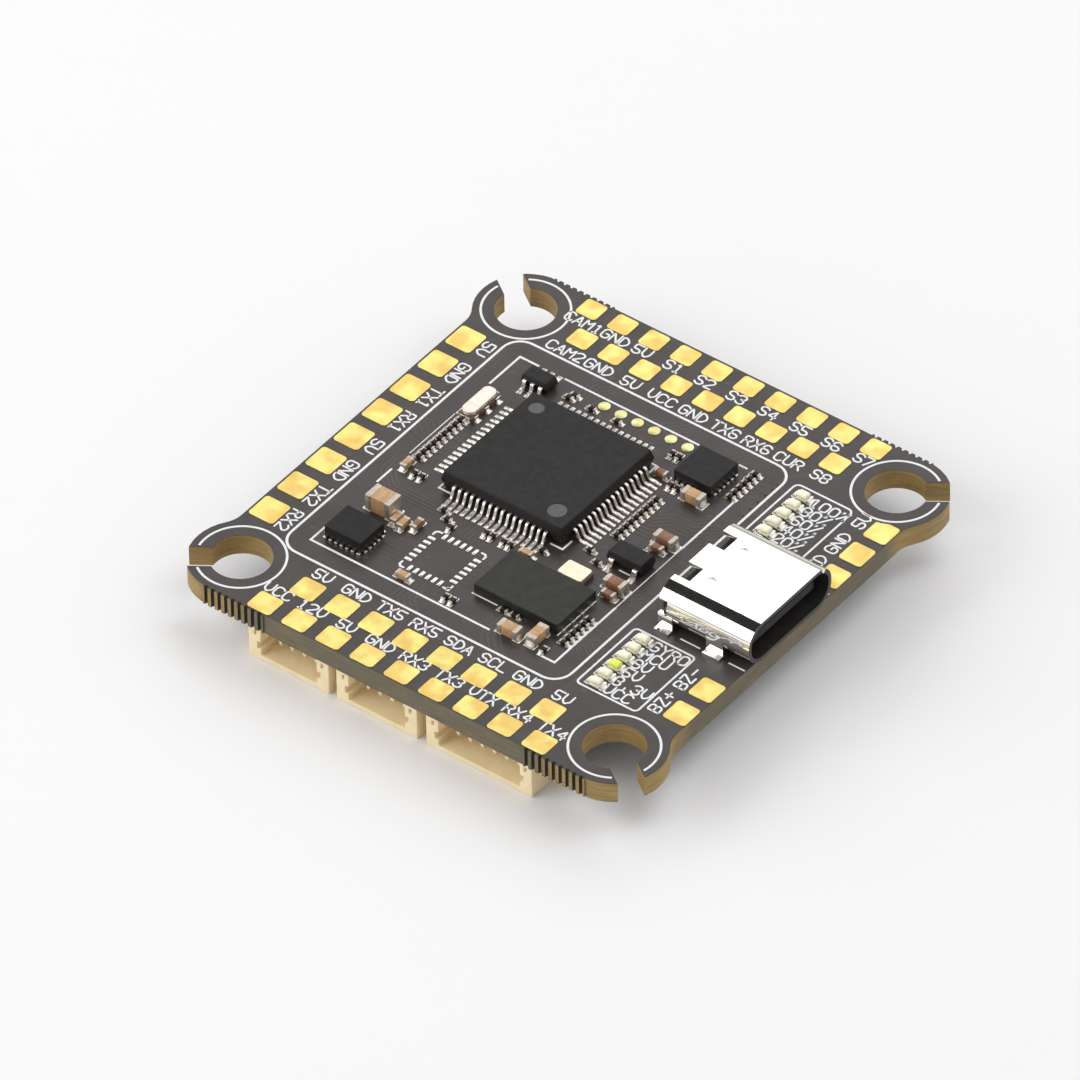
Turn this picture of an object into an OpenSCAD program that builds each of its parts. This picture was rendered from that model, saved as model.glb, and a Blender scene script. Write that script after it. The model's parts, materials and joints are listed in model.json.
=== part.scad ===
// Flight controller board for a small multirotor, with the parts soldered to both faces.
// All sizes are in millimetres. +X points at the edge with the USB socket, +Y at the edge with the
// motor signal pads, and +Z up, out of the face with the processor.
// The origin is the middle of the square of mounting holes, on the underside of the bare board.

/* [Board] */
// Distance between the centres of neighbouring mounting holes
hole_pitch = 30.5; // [30:0.1:31]
// Diameter of each mounting hole
hole_d = 4.2; // [3:0.1:4.4]
// Width of the slot that opens each hole to the edge, for slipping in a rubber grommet
slot_w = 1.8; // [1:0.1:2.2]
// Angle between each slot and the X axis
slot_angle = 35; // [30:1:60]
// Radius of the lobe around each hole
lobe_r = 3.6; // [3.58:0.01:3.7]
// Radius of the hollow corner between a lobe and the side of the board
fillet_r = 2; // [1:0.1:2.5]
// Thickness of the bare board
board_t = 1.6; // [1.2:0.1:2]
// Width of the board between its sides, along X
board_w = 35.6; // [35.2:0.1:36]
// Length of the board between its pad edges, along Y
board_l = 37.6; // [37.2:0.1:37.6]

/* [Snapped break-off tabs] */
// Number of narrow grooves left on each tab
bite_count = 9; // [5:1:9]
// Distance between neighbouring grooves
bite_pitch = 0.55; // [0.5:0.01:0.56]
// Width of each groove
bite_w = 0.27; // [0.2:0.01:0.32]
// Depth of each groove
bite_depth = 0.21; // [0.15:0.01:0.24]
// Distance from the middle of the board to the first groove
bite_x = 10.9; // [10.7:0.1:11]
// How far the stub of a snapped tab stands out of the edge
bite_stub = 0.12; // [0.05:0.01:0.2]

/* [Solder pads] */
// Thickness of the plated copper
pad_t = 0.05; // [0.03:0.01:0.1]
// Corner radius of each pad
pad_r = 0.25; // [0.1:0.05:0.4]
// Pitch of the two pad rows at the rear edge
rear_pitch = 2.6; // [2.5:0.05:2.6]
// Pitch of the two pad rows at the front edge
front_pitch = 2.8; // [2.6:0.05:2.8]
// Pitch of the column of pads on the left side
left_pitch = 3; // [2.8:0.05:3]

/* [Processor] */
// Place of the processor's centre on the board
processor_at = [-3.95, 2.85];
// Width of the square moulded body
processor_w = 10; // [9.6:0.1:10]
// Height of the body above the board
processor_h = 1.5; // [1.3:0.1:1.6]
// Leads on each side
processor_leads_per_side = 16; // [8:1:16]
// Pitch of the leads
processor_pitch = 0.5; // [0.4:0.05:0.5]

/* [USB socket] */
// Width of the socket's shell
usb_w = 8.94; // [8.8:0.02:9]
// Height of the shell
usb_h = 3.2; // [3.1:0.02:3.26]
// Length of the shell
usb_l = 7.35; // [7:0.05:7.4]
// How far the mouth stands out past the side of the board
usb_overhang = 0.15; // [0:0.05:0.5]
// Thickness of the shell's sheet metal
usb_wall = 0.3; // [0.2:0.02:0.32]

/* [Plug sockets on the underside] */
// Pitch of the contacts
socket_pitch = 1; // [0.9:0.05:1]
// Height of each housing below the board
socket_h = 2.95; // [2.9:0.05:3.2]
// Depth of each housing
socket_depth = 4.25; // [4.1:0.05:4.3]
// Distance from the middle of the board to each housing's open face
socket_face_y = 18.45; // [18.2:0.05:18.6]

/* [Boot button] */
// Place of the button's centre on the underside
button_at = [13.2, 8.6];
// Diameter of the plunger
plunger_d = 1.5; // [1.2:0.1:1.6]
// Height of the plunger's face below the board
plunger_h = 2; // [1.8:0.1:2.2]
// Travel of the plunger
plunger_travel = 0.25; // [0.1:0.05:0.25]

/* [Hidden] */

$fn = 48;
arc_step = 9;     // angle between the points of an outline's round stretches
cut = 1;          // how far a cutting solid runs past the face that it cuts
hole_at = hole_pitch / 2;
side_x = board_w / 2;
edge_y = board_l / 2;

// Board outline
fillet_x = side_x + fillet_r;
fillet_y = hole_at - sqrt(pow(lobe_r + fillet_r, 2) - pow(fillet_x - hole_at, 2));
fillet_angle = atan2(hole_at - fillet_y, fillet_x - hole_at);
lobe_end_angle = asin((edge_y - hole_at) / lobe_r);
bite_end_x = bite_x + (bite_count - 1) * bite_pitch;
stub_margin = bite_pitch / 2;

// Pads: each row's centre line, pad width and pad length
rear_outer_y = 17.77;
rear_outer_pad = [1.68, 1.62];
rear_outer_count = 10;
rear_inner_y = 15.03;
rear_inner_pad = [1.7, 1.65];
rear_inner_count = 9;
front_outer_y = -17.86;
front_outer_pad = [1.9, 1.72];
front_outer_count = 9;
front_inner_y = -15.16;
front_inner_pad = [1.9, 1.8];
front_inner_count = 8;
left_pad = [2.05, 2.1];
left_pad_x = -16.58;
left_pad_count = 8;
left_pad_mid_y = -0.05;
right_pad = [1.8, 1.9];
right_pad_x = 16.86;
right_upper_y = [11.4, 8.75, 6.1];
right_lower_y = [-7.5, -10.25];
ring_clearance = 3.3;      // pads stay this far from the middle of a mounting hole

// Round programming pads in a row behind the processor
programming_pad_d = 0.85;
programming_pad_count = 6;
programming_pad_pitch = 1.372;
programming_pad_x = -5.18;
programming_pad_y = 10.58;

// Bare land pattern of a 24-pin chip that is left unfitted
spare_at = [-4.5, -7.7];
spare_pads_per_side = 6;
spare_pitch = 0.5;
spare_pad = [0.25, 0.55];
spare_pad_out = 1.87;

// Bent leads: width, thickness, height at the body, reach from the body, length of the foot
processor_lead = [0.22, 0.13, 0.86, 1, 0.55];
regulator_lead = [0.3, 0.12, 0.66, 0.6, 0.3];
transistor_lead = [0.4, 0.14, 0.6, 0.55, 0.3];
osd_lead = [0.25, 0.13, 0.6, 1, 0.55];
power_chip_lead = [0.38, 0.14, 0.64, 0.6, 0.34];

// Solder beside the leadless chips: count along X sides, count along Y sides, pitch, width
gyro_solder = [5, 7, 0.46, 0.24];
memory_solder = [4, 0, 1, 0.4];
signal_solder = [6, 6, 0.46, 0.24];

// Chips: place, body size
gyro_at = [-10.6, -9.2];
gyro_size = [3, 2.5, 1];
memory_at = [2.45, -6.9];
memory_size = [6.8, 4.15, 0.8];
signal_at = [4.34, 9.03];
signal_size = [3, 3, 0.9];
regulator_at = [-9.9, 9.72];
regulator_size = [2.1, 1.3, 0.95];
regulator_pitch = 0.65;
transistor_at = [5.58, -0.7];
transistor_size = [2.9, 1.6, 1];
transistor_pitch = 1.9;
lead_knee = 0.45;          // where a lead starts to bend, as a share of the way to its heel
moulding_lift = 0.06;      // gap under a moulded body
moulding_lean = 0.12;      // how far its sides lean in
processor_lift = 0.08;
processor_lean = 0.18;
chip_solder_h = 0.16;      // height of the solder beside a leadless chip
chip_solder_out = 0.2;     // how far that solder stands out

// Resonator and crystal
resonator_at = [-11.74, 5.64];
resonator_base_size = [1.22, 3.14, 0.4];
resonator_base_r = 0.2;
resonator_lid_size = [1.05, 3, 0.32];
resonator_lid_r = 0.45;
crystal_at = [3.38, -3.86];
crystal_base_size = [2.05, 1.55, 0.35];
crystal_base_r = 0.15;
crystal_lid_size = [1.92, 1.42, 0.2];
crystal_lid_r = 0.2;

// Two-ended parts: place on the board and turn about Z
size_0805 = [2, 1.35, 1.35];
size_0603 = [1.6, 0.8, 0.8];
size_0402 = [1, 0.5, 0.5];
size_0201 = [0.66, 0.32, 0.27];
size_1206 = [3.2, 1.6, 1.6];
top_0805 = [[-10.62, -6.08, 0]];
top_0603 = [
    [6.25, 2.15, 0], [6.25, -3.25, 0], [3.35, -10.75, 0], [5.1, -10.1, 90], [5.15, 6.6, 0]
];
top_0402 = [
    [-5.5, -10.6, 0], [-0.35, -4.15, 0], [1.95, 7.32, 0], [-7.8, -6.15, 90], [-8.6, -6.6, 90],
    [-9.25, -6.45, 90], [6.35, -4.15, 0], [6.15, 1.3, 0], [-12, -1.8, 90]
];
under_1206 = [[-9.5, 2.6, 0], [-9.5, 5.4, 0], [1.5, 8.6, 0], [8, -6.6, 90], [5.4, -6.6, 90]];
under_0402 = [
    [-15.2, 0.6, 90], [-13.8, 0.6, 90], [4.8, 5.9, 90], [11.2, 5.2, 90], [-1.3, -4.4, 0],
    [-13.6, -11, 0], [-11.8, -5, 90], [-1.3, -11.5, 0], [13.2, 3.4, 0]
];
resistor_rows = [   // x, first y, step in y, count
    [-11.85, 3.82, -0.56, 9], [3.25, 5.2, -0.54, 9], [6.95, 11, -0.55, 6], [6.75, -6.7, -0.55, 6]
];
resistor_singles = [
    [-11.1, -2.2, 90], [-10.5, -2.2, 90], [-3.75, -4.05, 90], [-3.25, -4.05, 90],
    [-2.3, -4.05, 90], [-1.8, -4.05, 90], [-2.1, -10.55, 90], [-1.5, -10.55, 90],
    [1.3, 9.35, 90], [1.85, 9.35, 90], [6.1, -10.8, 90], [-7.3, 10.2, 0], [-7.5, 9.8, 0],
    [-5.6, 9.8, 0], [-3.5, 9.8, 0], [3.1, 6.8, 90], [3.6, 6.8, 90], [2.7, -1.3, 0],
    [3.8, -2, 0], [1.7, -9.3, 0], [2.6, -9.25, 0], [0.25, -3.2, 0], [-7.3, -3.85, 0],
    [-6.6, -4.45, 0], [-5.95, -5, 90]
];
cap_share = 0.22;          // share of a two-ended part's length that each metal end takes
cap_step = 0.02;           // how far the ceramic stays inside its metal ends

// Light-emitting diodes, in two columns beside the USB socket
led_size = [1.25, 0.66, 0.5];
led_end = 0.2;
led_end_h = 0.24;
led_base_h = 0.14;
led_lens_step = 0.02;      // how far the lens stays inside its base
led_lens_lean = 0.07;
led_x = 10.75;
led_count = 6;
led_upper_y = 11.1;
led_upper_step = -1.04;
led_lower_y = -6.2;
led_lower_step = -1.01;
status_led = 3;            // the lower column's LED that has a coloured lens

// USB socket
usb_back_x = side_x + usb_overhang - usb_l;
usb_corner_r = 1.5;
usb_notch = [1.2, 1.5];
usb_notch_y = [1.85, -1.85];
usb_dimple_d = 0.8;
usb_dimple_depth = 0.12;
usb_dimples = [[2.35, 1.75], [2.35, -1.75]];
usb_leg_x = [[0, 1.15], [3.9, 5.25]];   // start and end of each leg, from the back of the shell
usb_leg_h = 1.75;
usb_foot = [0.45, 0.18];
usb_side_notch = [0.7, 1.1];
usb_side_notch_z = 1.25;
usb_insulator_x = 0.2;
usb_insulator_l = 1.3;
usb_insulator_h = 2.3;
usb_tongue_x = usb_back_x + usb_insulator_x + usb_insulator_l;
usb_tongue_size = [5.3, 6.7, 0.7];
usb_contact_count = 12;
usb_contact_pitch = 0.5;
usb_contact_w = 0.26;
usb_contact_t = 0.04;
usb_contact_l = 4.2;
usb_tail_l = 0.65;
usb_tail_t = 0.12;

// Plug sockets on the underside: middle x, contact count
left_socket = [-8.93, 4];
middle_socket = [-1.7, 4];
right_socket = [6.65, 6];
esc_socket = [0, 8];
socket_margin = 2.6;       // a housing is this much wider than its contact count
socket_floor = 0.42;       // wall furthest from the board
socket_roof = 0.35;        // wall against the board
socket_side = 1;
socket_back = 1.1;
socket_groove = [0.3, 0.6];
socket_groove_z = 1.75;
contact_w = 0.3;
contact_z = 1.8;
contact_tip = 1;           // how far a contact's tip is behind the open face
contact_foot = 0.6;
tab_t = 0.2;
tab_in = 0.45;
tab_h = 1;
tab_slot_h = 0.4;
tab_y = [1.5, 2.9];        // start and end of a tab, from the open face
tab_foot = 0.4;

// Parts on the underside
osd_at = [-6.8, -7.6];
osd_size = [9.7, 4.4, 1.05];
osd_leads_per_side = 14;
osd_pitch = 0.65;
osd_crystal_at = [-14.6, -7.6];
osd_crystal_size = [3.2, 2.5, 0.75];
osd_crystal_r = 0.3;
inductor_size = [4, 4, 2];
inductor_corner = 0.6;
inductors_at = [[2.2, -1], [8.6, -1]];
power_chip_size = [2.9, 1.6, 1.1];
power_chip_pitch = 0.95;
power_chips_at = [[2.2, 4.1], [8.6, 4.1]];
barometer_at = [-14.4, 4.6];
barometer_size = [2, 2.5, 0.35];
barometer_lid_size = [1.8, 2.3, 0.6];
barometer_lid_r = 0.2;
barometer_vent_d = 0.35;
barometer_vent_y = 0.6;
barometer_vent_depth = 0.3;
button_size = [3.9, 3, 1.15];
button_cavity_d = 2.4;
button_floor = 0.3;
button_cover_t = 0.15;
button_cover_hole = plunger_d + 0.2;
button_flange_d = 2.1;
button_flange_t = 0.25;
button_play = 0.05;
button_dome_d = 1.9;
button_dome_gap = 0.06;
button_dome_t = button_size[2] - button_play - button_flange_t - plunger_travel - button_floor
    - button_dome_gap;
button_terminal = [0.6, 0.35, 0.15];

// Colours
mask_color = [0.31, 0.29, 0.28];
gold = [0.96, 0.85, 0.5];
tin = [0.78, 0.78, 0.77];
mould_black = [0.16, 0.15, 0.15];
nickel = [0.86, 0.85, 0.82];
cream = [0.94, 0.86, 0.7];
ceramic_tan = [0.72, 0.56, 0.36];
ceramic_brown = [0.42, 0.27, 0.18];
lid_color = [0.9, 0.88, 0.84];
ferrite = [0.3, 0.3, 0.31];
status_green = [0.9, 0.95, 0.35];
plunger_color = [0.85, 0.84, 0.8];

// Points of an arc from angle a0 to a1
function arc(c, r, a0, a1) =
    let (n = ceil(abs(a1 - a0) / arc_step))
    [for (i = [0:n]) c + r * [cos(a0 + (a1 - a0) * i / n), sin(a0 + (a1 - a0) * i / n)]];

// Outline of a rectangle with round corners, centred on the origin
function rounded_rect(w, l, r) = concat(
    arc([w / 2 - r, l / 2 - r], r, 0, 90), arc([r - w / 2, l / 2 - r], r, 90, 180),
    arc([r - w / 2, r - l / 2], r, 180, 270), arc([w / 2 - r, r - l / 2], r, 270, 360));

function reversed(p) = [for (i = [len(p) - 1:-1:0]) p[i]];
function scaled(p, sx, sy) = [for (q = p) [q[0] * sx, q[1] * sy]];

// A quarter of the board's outline: side, hollow corner, lobe, stub of the snapped tab
function board_quarter() = concat(
    arc([fillet_x, fillet_y], fillet_r, 180, 180 - fillet_angle),
    arc([hole_at, hole_at], lobe_r, -fillet_angle, lobe_end_angle),
    [[bite_end_x + stub_margin, edge_y], [bite_end_x + stub_margin, edge_y + bite_stub],
     [bite_x - stub_margin, edge_y + bite_stub], [bite_x - stub_margin, edge_y]]);

function board_outline() =
    let (q = board_quarter())
    concat(q, reversed(scaled(q, -1, 1)), scaled(q, -1, -1), reversed(scaled(q, 1, -1)));

module on_top() translate([0, 0, board_t]) children();
module under() mirror([0, 0, 1]) children();

// A block standing on the board, centred on [x, y]
module block(at, size, z = 0)
    translate([at[0] - size[0] / 2, at[1] - size[1] / 2, z]) cube(size);

// The same with round upright corners
module round_block(at, size, r, z = 0)
    translate([at[0], at[1], z]) linear_extrude(size[2]) polygon(rounded_rect(size[0], size[1], r));

// A moulded body whose four sides lean in above and below the parting line
module moulded_body(at, size, lift = moulding_lift, lean = moulding_lean) {
    mid = lift + (size[2] - lift) / 2;
    translate([at[0], at[1], 0]) intersection() {
        rotate([90, 0, 0]) linear_extrude(size[1], center = true)
            polygon(side_view(size[0], lift, mid, size[2], lean));
        rotate([90, 0, 90]) linear_extrude(size[0], center = true)
            polygon(side_view(size[1], lift, mid, size[2], lean));
    }
}
function side_view(w, low, mid, high, lean) = [
    [lean - w / 2, low], [w / 2 - lean, low], [w / 2, mid],
    [w / 2 - lean, high], [lean - w / 2, high], [-w / 2, mid]];

// A bent lead that leaves a body at x = 0 and ends in a flat foot
module gull_lead(lead) {
    w = lead[0];
    t = lead[1];
    h = lead[2];
    reach = lead[3];
    heel = reach - lead[4];
    knee = heel * lead_knee;
    rotate([90, 0, 0]) linear_extrude(w, center = true) polygon([
        [0, h], [knee, h], [heel + t / 2, t], [reach, t], [reach, 0], [heel - t / 2, 0],
        [knee - t, h - t], [0, h - t]]);
}

// A row of bent leads along the side of a body that faces the given direction
module lead_row(at, half, turn, count, pitch, lead)
    translate([at[0], at[1], 0]) rotate(turn) for (i = [0:count - 1])
        translate([half, pitch * (i - (count - 1) / 2), 0]) gull_lead(lead);

// Solder showing round a leadless chip
module solder_rows(at, size, solder)
    translate([at[0], at[1], 0]) for (side = [0:3]) rotate(90 * side)
        for (i = [0:1:solder[side % 2] - 1])
            translate([size[side % 2] / 2,
                       solder[2] * (i - (solder[side % 2] - 1) / 2) - solder[3] / 2, 0])
                cube([chip_solder_out, solder[3], chip_solder_h]);

module pad(size) linear_extrude(pad_t) polygon(rounded_rect(size[0], size[1], pad_r));

module pad_row(count, pitch, y, size)
    for (i = [0:count - 1]) translate([pitch * (i - (count - 1) / 2), y, 0]) pad(size);

// Ceramic or resistive middle of each two-ended part in a list of [x, y, angle]
module two_ended_bodies(places, size)
    for (p = places) translate([p[0], p[1], 0]) rotate(p[2])
        block([0, 0], [size[0] * (1 - 2 * cap_share), size[1] - 2 * cap_step, size[2] - 2 * cap_step],
              cap_step);

// Metal ends of the same parts
module two_ended_ends(places, size)
    for (p = places, s = [-1, 1]) translate([p[0], p[1], 0]) rotate(p[2])
        block([s * size[0] * (1 - cap_share) / 2, 0], [size[0] * cap_share, size[1], size[2]]);

function resistor_places() = concat(
    [for (row = resistor_rows, i = [0:row[3] - 1]) [row[0], row[1] + row[2] * i, 0]],
    resistor_singles);

function led_places() = concat(
    [for (i = [0:led_count - 1]) [led_x, led_upper_y + led_upper_step * i]],
    [for (i = [0:led_count - 1]) if (i != status_led) [led_x, led_lower_y + led_lower_step * i]]);
status_led_place = [led_x, led_lower_y + led_lower_step * status_led];

// Bare board
module circuit_board() color(mask_color) difference() {
    linear_extrude(board_t) polygon(board_outline());
    for (sx = [-1, 1], sy = [-1, 1]) {
        translate([sx * hole_at, sy * hole_at, -cut]) cylinder(d = hole_d, h = board_t + 2 * cut);
        translate([sx * hole_at, sy * hole_at, board_t / 2]) rotate(atan2(sy * sin(slot_angle),
            sx * cos(slot_angle))) translate([lobe_r / 2 + cut, 0, 0])
            cube([lobe_r + 2 * cut, slot_w, board_t + 2 * cut], center = true);
        for (i = [0:bite_count - 1]) scale([sx, sy, 1])
            translate([bite_x + i * bite_pitch, edge_y + bite_stub - bite_depth, -cut]) bite();
    }
}

// A groove with a round bottom that opens towards +Y
module bite() linear_extrude(board_t + 2 * cut) polygon(concat(
    arc([0, bite_w / 2], bite_w / 2, -180, 0),
    [[bite_w / 2, 2 * bite_depth], [-bite_w / 2, 2 * bite_depth]]));

module rear_pads() color(gold) on_top() {
    pad_row(rear_outer_count, rear_pitch, rear_outer_y, rear_outer_pad);
    pad_row(rear_inner_count, rear_pitch, rear_inner_y, rear_inner_pad);
}

module front_pads() color(gold) on_top() {
    pad_row(front_outer_count, front_pitch, front_outer_y, front_outer_pad);
    pad_row(front_inner_count, front_pitch, front_inner_y, front_inner_pad);
}

module left_pads() color(gold) on_top() for (i = [0:left_pad_count - 1])
    translate([left_pad_x, left_pad_mid_y + left_pitch * (i - (left_pad_count - 1) / 2), 0])
        pad(left_pad);

module right_pads() color(gold) on_top() difference() {
    for (y = concat(right_upper_y, right_lower_y)) translate([right_pad_x, y, 0]) pad(right_pad);
    translate([hole_at, hole_at, -cut]) cylinder(r = ring_clearance, h = pad_t + 2 * cut);
}

module programming_pads() color(gold) on_top() for (i = [0:programming_pad_count - 1])
    translate([programming_pad_x + i * programming_pad_pitch, programming_pad_y, 0])
        cylinder(d = programming_pad_d, h = pad_t);

module spare_footprint_pads() color(tin) on_top() translate([spare_at[0], spare_at[1], 0])
    for (side = [0:3], i = [0:spare_pads_per_side - 1]) rotate(90 * side)
        translate([spare_pitch * (i - (spare_pads_per_side - 1) / 2), spare_pad_out, 0])
            block([0, 0], [spare_pad[0], spare_pad[1], pad_t]);

// Processor: 64 leads
module processor_body() color(mould_black) on_top()
    moulded_body(processor_at, [processor_w, processor_w, processor_h], processor_lift, processor_lean);

module processor_leads() color(tin) on_top() for (side = [0:3])
    lead_row(processor_at, processor_w / 2, 90 * side, processor_leads_per_side, processor_pitch,
             processor_lead);

// Gyro chip
module gyro_body() color(mould_black) on_top() block(gyro_at, gyro_size);

module gyro_pads() color(tin) on_top() solder_rows(gyro_at, gyro_size, gyro_solder);

// Logging memory chip
module memory_body() color(mould_black) on_top() block(memory_at, memory_size);

module memory_pads() color(tin) on_top() solder_rows(memory_at, memory_size, memory_solder);

// Signal chip behind the processor
module signal_chip_body() color(mould_black) on_top() block(signal_at, signal_size);

module signal_chip_pads() color(tin) on_top() solder_rows(signal_at, signal_size, signal_solder);

// Low-noise regulator
module regulator_body() color(mould_black) on_top() moulded_body(regulator_at, regulator_size);

module regulator_leads() color(tin) on_top() for (turn = [90, -90])
    lead_row(regulator_at, regulator_size[1] / 2, turn, 3, regulator_pitch, regulator_lead);

// Buzzer transistor
module transistor_body() color(mould_black) on_top() moulded_body(transistor_at, transistor_size);

module transistor_leads() color(tin) on_top() {
    lead_row(transistor_at, transistor_size[1] / 2, -90, 2, transistor_pitch, transistor_lead);
    lead_row(transistor_at, transistor_size[1] / 2, 90, 1, transistor_pitch, transistor_lead);
}

// Clock resonator: ceramic base and metal lid
module resonator_base() color(ceramic_tan) on_top()
    round_block(resonator_at, resonator_base_size, resonator_base_r);

module resonator_lid() color(lid_color) on_top()
    round_block(resonator_at, resonator_lid_size, resonator_lid_r, resonator_base_size[2]);

module crystal_base() color(ceramic_tan) on_top()
    round_block(crystal_at, crystal_base_size, crystal_base_r);

module crystal_lid() color(cream) on_top()
    round_block(crystal_at, crystal_lid_size, crystal_lid_r, crystal_base_size[2]);

// Capacitors: the large ones filter the supplies, the small ones sit by the chips
module large_capacitor_bodies() color(ceramic_tan) {
    on_top() two_ended_bodies(top_0805, size_0805);
    on_top() two_ended_bodies(top_0603, size_0603);
    under() two_ended_bodies(under_1206, size_1206);
}

module large_capacitor_ends() color(tin) {
    on_top() two_ended_ends(top_0805, size_0805);
    on_top() two_ended_ends(top_0603, size_0603);
    under() two_ended_ends(under_1206, size_1206);
}

module small_capacitor_bodies() color(ceramic_brown) {
    on_top() two_ended_bodies(top_0402, size_0402);
    under() two_ended_bodies(under_0402, size_0402);
}

module small_capacitor_ends() color(tin) {
    on_top() two_ended_ends(top_0402, size_0402);
    under() two_ended_ends(under_0402, size_0402);
}

module resistor_bodies() color(mould_black) on_top()
    two_ended_bodies(resistor_places(), size_0201);

module resistor_ends() color(tin) on_top() two_ended_ends(resistor_places(), size_0201);

// Light-emitting diodes: a base, a lens on it and a metal end at each side
module led_bases() color(cream) on_top() for (p = concat(led_places(), [status_led_place]))
    block(p, [led_size[0] - 2 * led_end, led_size[1], led_base_h]);

module led_lens(p) translate([0, 0, led_base_h])
    moulded_body(p, [led_size[0] - 2 * (led_end + led_lens_step), led_size[1] - 2 * led_lens_step,
                     led_size[2] - led_base_h], 0, led_lens_lean);

module led_lenses() color(cream) on_top() for (p = led_places()) led_lens(p);

module status_led_lens() color(status_green) on_top() led_lens(status_led_place);

module led_ends() color(tin) on_top()
    for (p = concat(led_places(), [status_led_place]), s = [-1, 1])
        block([p[0] + s * (led_size[0] - led_end) / 2, p[1]], [led_end, led_size[1], led_end_h]);

// USB socket, lying along X with its mouth at +X
module along_usb(x, l) translate([usb_back_x + x, 0, usb_h / 2]) rotate([90, 0, 90])
    linear_extrude(l) children();

module usb_shell() color(nickel) on_top() {
    difference() {
        along_usb(0, usb_l) polygon(rounded_rect(usb_w, usb_h, usb_corner_r));
        along_usb(-cut, usb_l + 2 * cut) polygon(
            rounded_rect(usb_w - 2 * usb_wall, usb_h - 2 * usb_wall, usb_corner_r - usb_wall));
        for (y = usb_notch_y) translate([usb_back_x - cut, y - usb_notch[1] / 2, usb_h - 2 * usb_wall])
            cube([usb_notch[0] + cut, usb_notch[1], 3 * usb_wall]);
        for (p = usb_dimples) translate([usb_back_x + p[0], p[1], usb_h - usb_dimple_depth])
            cylinder(d = usb_dimple_d, h = 2 * usb_dimple_depth, $fn = 24);
        translate([usb_back_x - cut, -usb_w / 2 - cut, usb_side_notch_z])
            cube([usb_side_notch[0] + cut, usb_w + 2 * cut, usb_side_notch[1]]);
    }
    for (x = usb_leg_x, s = [0, 1]) mirror([0, s, 0]) translate([usb_back_x + x[0], usb_w / 2, 0]) {
        leg_h = x[0] < usb_side_notch[0] ? usb_side_notch_z : usb_leg_h;
        translate([0, -usb_wall, 0]) cube([x[1] - x[0], usb_wall, leg_h]);
        translate([0, -usb_wall / 2, 0])
            cube([x[1] - x[0], usb_foot[0] + usb_wall / 2, usb_foot[1]]);
    }
}

module usb_insulator() color(mould_black) on_top() intersection() {
    along_usb(usb_insulator_x, usb_insulator_l)
        polygon(rounded_rect(usb_w - 2 * usb_wall, usb_h - 2 * usb_wall, usb_corner_r - usb_wall));
    translate([usb_back_x, -usb_w / 2, 0]) cube([usb_l, usb_w, usb_insulator_h]);
}

module usb_tongue() color(mould_black) on_top()
    translate([usb_tongue_x, -usb_tongue_size[1] / 2, (usb_h - usb_tongue_size[2]) / 2])
        cube(usb_tongue_size);

module usb_contacts() color(gold) on_top() for (i = [0:usb_contact_count - 1])
    translate([0, usb_contact_pitch * (i - (usb_contact_count - 1) / 2) - usb_contact_w / 2, 0]) {
        for (z = [(usb_h + usb_tongue_size[2]) / 2, (usb_h - usb_tongue_size[2]) / 2 - usb_contact_t])
            translate([usb_tongue_x, 0, z]) cube([usb_contact_l, usb_contact_w, usb_contact_t]);
        translate([usb_back_x - usb_tail_l, 0, 0]) cube([usb_tail_l, usb_contact_w, usb_tail_t]);
    }

// Plug sockets, drawn above the board and opening towards -Y, then mirrored under it
module tab_pair(w, from, to, low, high, reach)
    for (s = [0, 1]) mirror([s, 0, 0]) {
        translate([w / 2 - tab_in - tab_t, from, low]) cube([tab_t, to - from, high - low]);
        if (reach > 0) translate([w / 2 - tab_in - tab_t, from, 0])
            cube([tab_in + tab_t + reach, to - from, tab_t]);
    }

module socket_housing(count) {
    w = count * socket_pitch + socket_margin;
    inner = w - 2 * socket_side;
    difference() {
        translate([-w / 2, 0, 0]) cube([w, socket_depth, socket_h]);
        translate([-inner / 2, -cut, socket_roof])
            cube([inner, socket_depth - socket_back + cut, socket_h - socket_roof - socket_floor]);
        translate([-inner / 2 - socket_groove[0], -cut, socket_groove_z - socket_groove[1] / 2])
            cube([inner + 2 * socket_groove[0], socket_depth - socket_back + cut, socket_groove[1]]);
        for (i = [0:count - 1])
            translate([socket_pitch * (i - (count - 1) / 2) - contact_w / 2, 0, contact_z - contact_w / 2])
                cube([contact_w, socket_depth + cut, contact_w]);
        tab_pair(w, -cut, tab_y[1], tab_h - tab_slot_h, tab_h, 0);
        tab_pair(w, tab_y[0], tab_y[1], 0, tab_h, cut);
    }
}

module socket_contacts(count) for (i = [0:count - 1])
    translate([socket_pitch * (i - (count - 1) / 2), 0, 0]) rotate([90, 0, 90])
        linear_extrude(contact_w, center = true) polygon([
            [contact_tip, contact_z - contact_w / 2], [contact_tip, contact_z + contact_w / 2],
            [socket_depth + contact_w, contact_z + contact_w / 2],
            [socket_depth + contact_w, contact_w / 2],
            [socket_depth + contact_w + contact_foot, contact_w / 2],
            [socket_depth + contact_w + contact_foot, 0], [socket_depth, 0],
            [socket_depth, contact_z - contact_w / 2]]);

module at_front(x) under() translate([x, -socket_face_y, 0]) children();
module at_rear(x) under() translate([x, socket_face_y, 0]) rotate(180) children();

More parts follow.
